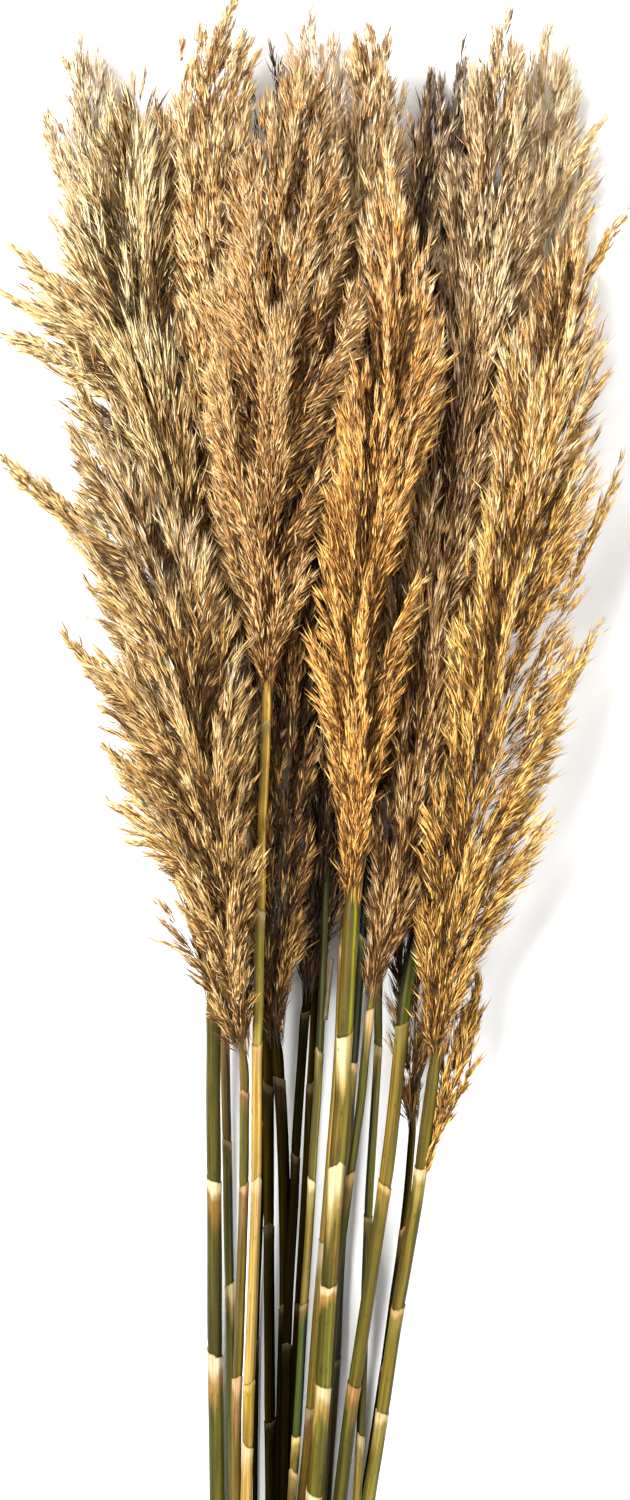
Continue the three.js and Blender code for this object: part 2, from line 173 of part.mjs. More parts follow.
// Elliptical ring round a centre: half width across the plan, half depth up.
function ring(centre, tangent, halfWidth, halfDepth, sides, floor) {
  const side = new THREE.Vector3(tangent.y, -tangent.x, 0).normalize();
  const up = new THREE.Vector3().crossVectors(side, tangent).normalize();
  const out = [];
  for (let i = 0; i < sides; i++) {
    const t = ((i + 0.5) / sides) * Math.PI * 2;
    const c = Math.cos(t) * halfWidth;
    const s = Math.sin(t) * halfDepth;
    const z = centre[2] + side.z * c + up.z * s;
    out.push([
      centre[0] + side.x * c + up.x * s,
      centre[1] + side.y * c + up.y * s,
      floor === null ? z : Math.max(z, floor),
    ]);
  }
  return out.reverse();
}

function lerpAxis(axis, y) {
  for (let k = 0; k + 1 < axis.length; k++) {
    const a = axis[k];
    const b = axis[k + 1];
    if (y <= a[1] && y >= b[1]) {
      const t = (a[1] - y) / (a[1] - b[1]);
      return [a[0] + (b[0] - a[0]) * t, y, a[2] + (b[2] - a[2]) * t];
    }
  }
  return null;
}

// One stalk, grown outward by `grow` when it is used as a cutter.
function stalkGeometry(spec, grow) {
  const stations = spec.axis.map((p) => ({ y: p[1], k: 1.0 }));
  for (const y of spec.nodes) {
    stations.push({ y: y + LIP_HEIGHT, k: NECK });
    stations.push({ y, k: LIP });
    stations.push({ y: y - LIP_TAPER, k: LIP_BELOW });
  }
  stations.sort((a, b) => b.y - a.y);
  const top = spec.axis[0][1];
  const bottom = spec.axis[spec.axis.length - 1][1];
  const kept = [];
  for (const s of stations) {
    if (s.y > top || s.y < bottom) continue;
    const near = kept.length ? kept[kept.length - 1].y - s.y : 99;
    if (near < 0.5) continue;
    // a plain station too close to a lip adds nothing
    if (s.k === 1.0 && s.y !== top && s.y !== bottom && near < 8) continue;
    kept.push(s);
  }
  const centres = kept.map((s) => lerpAxis(spec.axis, s.y));
  if (grow) {
    // longer at both ends as well as fatter
    const t0 = tangentAt(centres, 0);
    const t1 = tangentAt(centres, centres.length - 1);
    const n = centres.length - 1;
    centres[0] = [centres[0][0] - t0.x * grow, centres[0][1] - t0.y * grow, centres[0][2] - t0.z * grow];
    centres[n] = [centres[n][0] + t1.x * grow, centres[n][1] + t1.y * grow, centres[n][2] + t1.z * grow];
  }
  const r = kept.map((s) => spec.r * (grow ? LIP : s.k) + grow);
  return skin(centres.map((c, k) => ring(c, tangentAt(centres, k), r[k], r[k], STALK_SIDES, null)));
}

function plumeGeometry(stations, grow, sides = PLUME_SIDES) {
  const points = stations.map((s) => [s[0], s[1], s[2]]);
  const n = points.length - 1;
  const t0 = tangentAt(points, 0);
  // the plume starts a clearance beyond its stalk's end
  const start = grow ? 0 : GAP;
  points[0] = [points[0][0] + t0.x * start, points[0][1] + t0.y * start, points[0][2] + t0.z * start];
  if (grow) {
    const t1 = tangentAt(points, n);
    points[n] = [points[n][0] + t1.x * grow, points[n][1] + t1.y * grow, points[n][2] + t1.z * grow];
  }
  return skin(points.map((c, k) => ring(c, tangentAt(points, k), stations[k][3] + grow, stations[k][4] + grow,
    sides, grow ? null : FLOOR)));
}

// A thin pointed blade.
function scrapGeometry(spec) {
  const n = spec.axis.length - 1;
  return skin(spec.axis.map((c, k) => {
    const taper = 1 - 0.75 * (k / n);
    return ring(c, tangentAt(spec.axis, k), (spec.w / 2) * taper, (spec.t / 2) * (0.5 + taper / 2), 6, null);
  }));
}

// ---- exact cuts ---------------------------------------------------------
function toSolid(geometry) {
  const g = mergeVertices(geometry.clone(), 1e-5);
  return new wasm.Manifold(new wasm.Mesh({
    numProp: 3,
    vertProperties: new Float32Array(g.attributes.position.array),
    triVerts: new Uint32Array(g.index.array),
  }));
}

function fromSolid(solid) {
  const mesh = solid.getMesh();
  const geometry = new THREE.BufferGeometry();
  geometry.setAttribute('position', new THREE.Float32BufferAttribute(Array.from(mesh.vertProperties), 3));
  geometry.setIndex(Array.from(mesh.triVerts));
  return geometry;
}

function largest(solid) {
  let best = null;
  for (const part of solid.decompose()) if (!best || part.volume() > best.volume()) best = part;
  return best;
}

// ---- the bundle ---------------------------------------------------------
const group = new THREE.Group();

function add(name, geometry, color, roughness) {
  geometry.computeVertexNormals();
  const mesh = new THREE.Mesh(geometry, new THREE.MeshStandardMaterial({ color, roughness, metalness: 0 }));
  mesh.name = name;
  group.add(mesh);
  return mesh;
}

const stalkCutters = Object.fromEntries(Object.entries(STALKS).map(([k, s]) => [k, toSolid(stalkGeometry(s, GAP))]));
for (const [key, spec] of Object.entries(STALKS)) add('stalk_' + key, stalkGeometry(spec, 0), COLORS.stalk[key], 0.6);

const scrapCutters = [];
for (const [name, spec] of Object.entries(SCRAPS)) add(name, scrapGeometry(spec), COLORS.scrap, 0.8);

const above = [];
for (const key of HEAP) {
  let solid = toSolid(plumeGeometry(PLUMES[key], 0));
  for (const cutter of above) solid = solid.subtract(cutter);
  for (const [other, cutter] of Object.entries(stalkCutters)) if (other !== key) solid = solid.subtract(cutter);
  solid = largest(solid.simplify ? solid.simplify(0.05) : solid);
  add('plume_' + key, fromSolid(solid), COLORS.plume[key], 0.9);
  above.push(toSolid(plumeGeometry(PLUMES[key], GAP)));
}

// Side branches start at their plume's surface.
for (const [key, stations] of Object.entries(SPRAYS)) {
  let solid = toSolid(plumeGeometry(stations, 0, SPRAY_SIDES));
  for (const cutter of above) solid = solid.subtract(cutter);
  for (const cutter of Object.values(stalkCutters)) solid = solid.subtract(cutter);
  solid = largest(solid.simplify ? solid.simplify(0.05) : solid);
  add('spray_' + key, fromSolid(solid), COLORS.plume[key[0]], 0.9);
  above.push(toSolid(plumeGeometry(stations, GAP, SPRAY_SIDES)));
}

// Rest the bundle on z = 0 with the origin under the middle of its footprint.
const box = new THREE.Box3();
for (const mesh of group.children) {
  mesh.geometry.computeBoundingBox();
  box.union(mesh.geometry.boundingBox);
}
const shift = new THREE.Vector3(-(box.min.x + box.max.x) / 2, -(box.min.y + box.max.y) / 2, -box.min.z);
for (const mesh of group.children) mesh.geometry.translate(shift.x, shift.y, shift.z);

export default group;
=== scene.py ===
import sys
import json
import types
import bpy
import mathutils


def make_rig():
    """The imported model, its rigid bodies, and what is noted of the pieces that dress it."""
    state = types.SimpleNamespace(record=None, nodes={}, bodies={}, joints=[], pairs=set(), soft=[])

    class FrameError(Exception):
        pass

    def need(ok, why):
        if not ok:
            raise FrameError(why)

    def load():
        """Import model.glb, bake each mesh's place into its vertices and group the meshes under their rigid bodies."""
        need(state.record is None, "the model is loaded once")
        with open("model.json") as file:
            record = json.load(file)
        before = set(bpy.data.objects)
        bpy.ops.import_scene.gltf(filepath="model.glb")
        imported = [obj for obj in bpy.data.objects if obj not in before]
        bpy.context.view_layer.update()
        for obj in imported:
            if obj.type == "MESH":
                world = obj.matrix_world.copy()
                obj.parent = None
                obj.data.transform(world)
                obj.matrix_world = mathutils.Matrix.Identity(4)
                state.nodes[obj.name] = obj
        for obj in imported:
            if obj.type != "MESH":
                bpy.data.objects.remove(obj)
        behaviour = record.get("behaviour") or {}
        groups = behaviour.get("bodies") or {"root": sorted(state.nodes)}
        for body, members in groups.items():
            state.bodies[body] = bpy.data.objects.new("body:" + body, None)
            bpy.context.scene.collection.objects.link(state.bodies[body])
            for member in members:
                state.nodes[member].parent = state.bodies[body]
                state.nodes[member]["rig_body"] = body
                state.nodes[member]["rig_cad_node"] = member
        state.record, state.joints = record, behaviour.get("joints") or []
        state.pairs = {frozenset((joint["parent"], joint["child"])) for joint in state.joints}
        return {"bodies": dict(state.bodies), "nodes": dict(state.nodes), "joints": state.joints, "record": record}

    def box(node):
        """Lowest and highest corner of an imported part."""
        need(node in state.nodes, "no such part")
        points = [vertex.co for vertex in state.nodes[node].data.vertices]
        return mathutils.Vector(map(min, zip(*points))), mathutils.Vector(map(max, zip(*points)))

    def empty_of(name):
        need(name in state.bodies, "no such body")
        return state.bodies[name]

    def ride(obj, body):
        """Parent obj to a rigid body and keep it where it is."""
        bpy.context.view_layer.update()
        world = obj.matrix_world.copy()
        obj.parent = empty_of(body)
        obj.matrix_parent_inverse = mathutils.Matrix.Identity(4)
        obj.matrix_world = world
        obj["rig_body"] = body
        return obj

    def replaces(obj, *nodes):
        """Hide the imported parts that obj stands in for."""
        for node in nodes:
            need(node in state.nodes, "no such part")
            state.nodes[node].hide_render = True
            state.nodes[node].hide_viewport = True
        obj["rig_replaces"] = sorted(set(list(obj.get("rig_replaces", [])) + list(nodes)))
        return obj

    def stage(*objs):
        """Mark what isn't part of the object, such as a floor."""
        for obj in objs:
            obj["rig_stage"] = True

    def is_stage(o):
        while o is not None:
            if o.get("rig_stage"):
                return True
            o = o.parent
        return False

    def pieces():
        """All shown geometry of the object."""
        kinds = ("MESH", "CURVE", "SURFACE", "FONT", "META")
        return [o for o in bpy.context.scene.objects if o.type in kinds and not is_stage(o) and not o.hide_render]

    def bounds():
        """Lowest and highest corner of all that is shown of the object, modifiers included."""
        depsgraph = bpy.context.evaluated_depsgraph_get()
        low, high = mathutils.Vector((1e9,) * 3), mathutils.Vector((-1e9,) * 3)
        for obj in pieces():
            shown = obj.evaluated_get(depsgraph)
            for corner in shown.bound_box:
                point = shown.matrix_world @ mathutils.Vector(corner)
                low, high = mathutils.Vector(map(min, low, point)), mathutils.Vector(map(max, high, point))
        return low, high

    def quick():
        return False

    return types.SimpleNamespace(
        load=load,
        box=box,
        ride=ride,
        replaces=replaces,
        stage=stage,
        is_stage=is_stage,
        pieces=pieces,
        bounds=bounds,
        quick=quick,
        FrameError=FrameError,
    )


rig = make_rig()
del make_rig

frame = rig.load()

import json
import math
import bpy
import numpy as np

cad_lo, cad_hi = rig.bounds()
cad_lo = [float(v) for v in cad_lo]
cad_hi = [float(v) for v in cad_hi]
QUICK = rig.quick()

# ---------------------------------------------------------------------------
# The routes of the stalks and plumes, repeated from part.mjs in its own
# millimetres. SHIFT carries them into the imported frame.
# ---------------------------------------------------------------------------
STALKS = {
    "a": dict(r=4.2, nodes=[188.5, 81.6],
              axis=[[-61.6, 297.1, 44.0], [-61.7, 237.7, 35.0], [-61.4, 191.6, 28.8], [-61.2, 151.5, 23.9], [-61.2, 89.7, 17.4], [-60.7, 52.5, 14.0], [-60.0, -9.5, 9.4], [-59.7, -52.9, 6.8], [-59.4, -96.2, 4.9]]),
    "b": dict(r=2.85, nodes=[281.3, 210.6, 122.6],
              axis=[[-55.9, 306.4, 16.0], [-55.0, 266.5, 13.7], [-54.5, 235.8, 12.1], [-53.7, 198.9, 10.3], [-53.0, 149.7, 8.3], [-52.1, 112.7, 7.0], [-51.5, 51.1, 5.3], [-50.6, -10.4, 4.1], [-50.1, -55.5, 3.6], [-49.8, -100.6, 3.4]]),
    "c": dict(r=3.0, nodes=[244.1, 187.1, 68.3],
              axis=[[-43.0, 265.5, 66.0], [-42.3, 252.1, 63.1], [-42.4, 233.8, 59.2], [-42.6, 209.2, 54.1], [-43.1, 178.5, 48.1], [-44.1, 147.6, 42.5], [-45.3, 116.7, 37.2], [-46.3, 85.7, 32.3], [-47.6, 54.6, 27.7], [-48.0, 23.5, 23.4], [-48.0, -7.7, 19.6], [-48.0, -49.2, 15.0], [-48.1, -90.8, 11.1]]),
    "d": dict(r=3.15, nodes=[465.4, 354.1, 274.7, 190.9, 66.3, 27.2],
              axis=[[-28.4, 484.3, 98.0], [-29.3, 453.0, 93.6], [-30.9, 420.3, 89.1], [-31.9, 390.6, 85.0], [-32.4, 360.7, 80.8], [-33.3, 330.7, 76.6], [-33.8, 300.6, 72.4], [-34.7, 270.5, 68.2], [-35.2, 228.1, 62.3], [-35.7, 179.3, 55.6], [-36.5, 154.9, 52.2], [-37.8, 118.1, 47.0], [-39.0, 87.3, 42.8], [-40.3, 56.4, 38.5], [-41.3, 12.9, 32.4], [-41.9, -5.8, 29.8], [-43.2, -52.6, 23.3], [-44.2, -99.8, 16.7]]),
    "e": dict(r=1.56, nodes=[223.5, 88.0],
              axis=[[-31.4, 306.4, 16.0], [-31.5, 266.5, 13.5], [-32.1, 205.0, 10.1], [-33.7, 149.6, 7.6], [-35.3, 112.6, 6.1], [-36.3, 51.0, 4.2], [-36.9, -10.7, 2.8], [-37.1, -49.7, 2.3], [-37.3, -88.6, 2.0]]),
    "f": dict(r=3.3, nodes=[246.5, 158.4, 39.2],
              axis=[[-28.6, 307.2, 30.0], [-28.4, 261.2, 24.6], [-28.4, 236.6, 22.0], [-28.3, 205.9, 19.0], [-28.2, 150.4, 14.2], [-28.0, 113.3, 11.5], [-27.7, 51.6, 8.0], [-27.3, -10.2, 5.5], [-27.1, -54.4, 4.4], [-26.9, -98.5, 3.9]]),
    "g": dict(r=3.6, nodes=[251.1, 109.0],
              axis=[[-23.2, 271.3, 46.0], [-21.8, 251.7, 43.0], [-20.6, 235.2, 40.5], [-19.4, 207.6, 36.6], [-18.5, 176.8, 32.6], [-18.1, 146.0, 28.9], [-18.4, 109.0, 25.0], [-19.2, 84.3, 22.6], [-20.1, 53.5, 20.0], [-22.0, -8.3, 15.8], [-23.0, -50.5, 13.7], [-23.7, -92.6, 12.2]]),
    "h": dict(r=2.85, nodes=[292.1, 203.6, 89.1],
              axis=[[-4.8, 298.7, 40.0], [-6.3, 286.6, 40.0], [-7.6, 268.4, 40.0], [-9.7, 238.2, 39.8], [-11.6, 207.8, 39.3], [-12.7, 177.5, 38.5], [-14.5, 147.1, 37.5], [-16.1, 116.6, 36.1], [-17.6, 55.4, 32.6], [-18.6, -6.2, 27.9], [-19.1, -53.7, 23.5], [-19.6, -101.6, 18.4]]),
    "i": dict(r=2.4, nodes=[245.6, 111.4],
              axis=[[0.9, 318.6, 16.0], [0.0, 297.2, 14.7], [-1.5, 266.5, 13.0], [-3.4, 235.8, 11.4], [-4.7, 205.0, 9.9], [-6.4, 174.2, 8.6], [-8.1, 143.4, 7.5], [-10.1, 112.7, 6.4], [-11.9, 81.9, 5.5], [-13.8, 51.1, 4.7], [-16.3, -10.5, 3.6], [-17.5, -50.5, 3.1], [-18.5, -90.5, 2.9]]),
    "j": dict(r=2.52, nodes=[405.4, 267.0, 189.9, 115.1, 34.5, 11.3],
              axis=[[8.7, 425.9, 50.0], [7.4, 389.7, 49.0], [6.5, 359.5, 48.1], [5.4, 329.3, 47.2], [4.2, 299.0, 46.2], [2.7, 267.0, 45.1], [1.2, 238.5, 44.1], [-0.9, 208.1, 42.9], [-2.4, 177.8, 41.7], [-4.2, 147.4, 40.4], [-6.4, 116.9, 39.1], [-8.2, 86.5, 37.7], [-9.8, 55.9, 36.3], [-11.8, 25.4, 34.8], [-14.1, -5.3, 33.2], [-16.6, -48.7, 30.9], [-18.5, -92.3, 28.5]]),
    "l": dict(r=4.8, nodes=[279.8, 198.6, 127.8, 65.2, -1.7],
              axis=[[21.8, 356.8, 72.0], [20.7, 336.4, 69.6], [19.5, 312.3, 66.7], [18.9, 300.3, 65.3], [17.5, 270.1, 61.7], [16.0, 239.9, 58.2], [13.8, 209.6, 54.6], [11.9, 179.2, 51.0], [9.8, 148.7, 47.4], [7.8, 118.0, 43.7], [6.0, 87.3, 40.1], [4.5, 56.5, 36.5], [1.8, 25.6, 32.8], [-0.9, -5.4, 29.1], [-4.0, -52.1, 23.6], [-6.5, -99.2, 18.0]]),
    "m": dict(r=2.58, nodes=[336.0, 258.7, 165.3, 75.9],
              axis=[[33.2, 389.1, 26.0], [30.9, 358.6, 23.4], [29.3, 336.6, 21.6], [27.2, 309.7, 19.6], [25.6, 285.1, 17.8], [23.7, 258.7, 16.0], [22.0, 236.0, 14.5], [20.2, 205.3, 12.7], [18.2, 174.5, 11.0], [16.2, 143.7, 9.5], [14.7, 112.9, 8.2], [13.5, 82.1, 7.0], [11.7, 51.2, 5.9], [9.5, 20.4, 5.0], [7.4, -10.4, 4.3], [5.0, -55.5, 3.5], [3.1, -100.7, 3.1]]),
    "n": dict(r=2.76, nodes=[294.6, 191.9],
              axis=[[33.6, 295.8, 52.0], [32.3, 284.2, 50.1], [30.6, 269.0, 47.8], [27.8, 238.4, 43.2], [23.6, 207.8, 38.9], [19.4, 177.1, 35.0], [15.5, 146.4, 31.3], [12.2, 115.6, 27.9], [9.7, 84.8, 24.8], [7.9, 53.9, 22.0], [4.3, -7.8, 17.3], [2.4, -50.5, 14.7], [0.8, -93.2, 12.8]]),
    "o": dict(r=2.64, nodes=[271.2, 166.2, 30.4],
              axis=[[39.0, 310.2, 30.0], [38.4, 271.2, 27.6], [36.6, 237.1, 25.6], [34.7, 206.5, 23.9], [32.9, 176.0, 22.2], [31.7, 145.3, 20.5], [30.7, 114.7, 18.9], [29.6, 83.9, 17.3], [28.6, 53.2, 15.8], [27.5, 22.3, 14.3], [25.7, -8.6, 12.8], [23.6, -55.5, 10.7], [22.0, -102.7, 8.7]]),
    "p": dict(r=3.9, nodes=[283.4, 186.1, 64.2],
              axis=[[66.3, 359.2, 40.0], [61.7, 341.0, 39.4], [59.5, 328.9, 39.0], [56.5, 310.7, 38.3], [54.7, 298.6, 37.8], [51.5, 268.3, 36.5], [48.5, 237.9, 35.0], [45.2, 207.4, 33.4], [41.1, 177.0, 31.7], [36.6, 146.4, 29.8], [32.0, 115.8, 27.7], [27.4, 85.1, 25.5], [22.6, 54.3, 23.2], [18.8, 23.4, 20.7], [15.2, -7.6, 18.0], [11.5, -52.2, 13.9], [8.4, -97.0, 9.5]]),
    "r": dict(r=3.72, nodes=[199.3, 113.1, 48.2],
              axis=[[71.7, 260.4, 62.0], [69.1, 239.7, 58.0], [67.1, 224.4, 55.2], [65.2, 209.1, 52.5], [61.3, 178.4, 47.3], [56.2, 147.6, 42.5], [51.1, 116.8, 38.0], [46.4, 85.9, 33.9], [42.1, 55.0, 30.1], [37.6, 24.0, 26.7], [32.6, -7.0, 23.7], [27.4, -49.3, 20.2], [23.3, -91.6, 17.3]]),
    "s": dict(r=2.28, nodes=[156.9, 73.3],
              axis=[[59.3, 219.9, 26.0], [58.4, 206.4, 24.1], [55.8, 175.5, 20.2], [52.2, 144.6, 16.7], [47.8, 113.6, 13.6], [43.7, 82.6, 10.8], [39.2, 51.6, 8.5], [34.6, 20.7, 6.5], [29.9, -10.3, 5.0], [25.3, -51.0, 3.5], [21.6, -91.5, 2.8]]),
    "t": dict(r=2.7, nodes=[330.5, 149.7, 48.7],
              axis=[[18.2, 340.8, 34.0], [16.8, 322.6, 33.0], [14.3, 267.7, 29.9], [12.2, 237.2, 28.2], [9.7, 206.7, 26.4], [7.3, 176.1, 24.6], [4.6, 145.4, 22.7], [1.8, 114.7, 20.7], [-0.4, 83.9, 18.8], [-2.9, 48.7, 16.5], [-5.2, 22.2, 14.7], [-8.3, -8.8, 12.6], [-11.3, -50.2, 9.7], [-13.8, -91.7, 6.7]]),
}

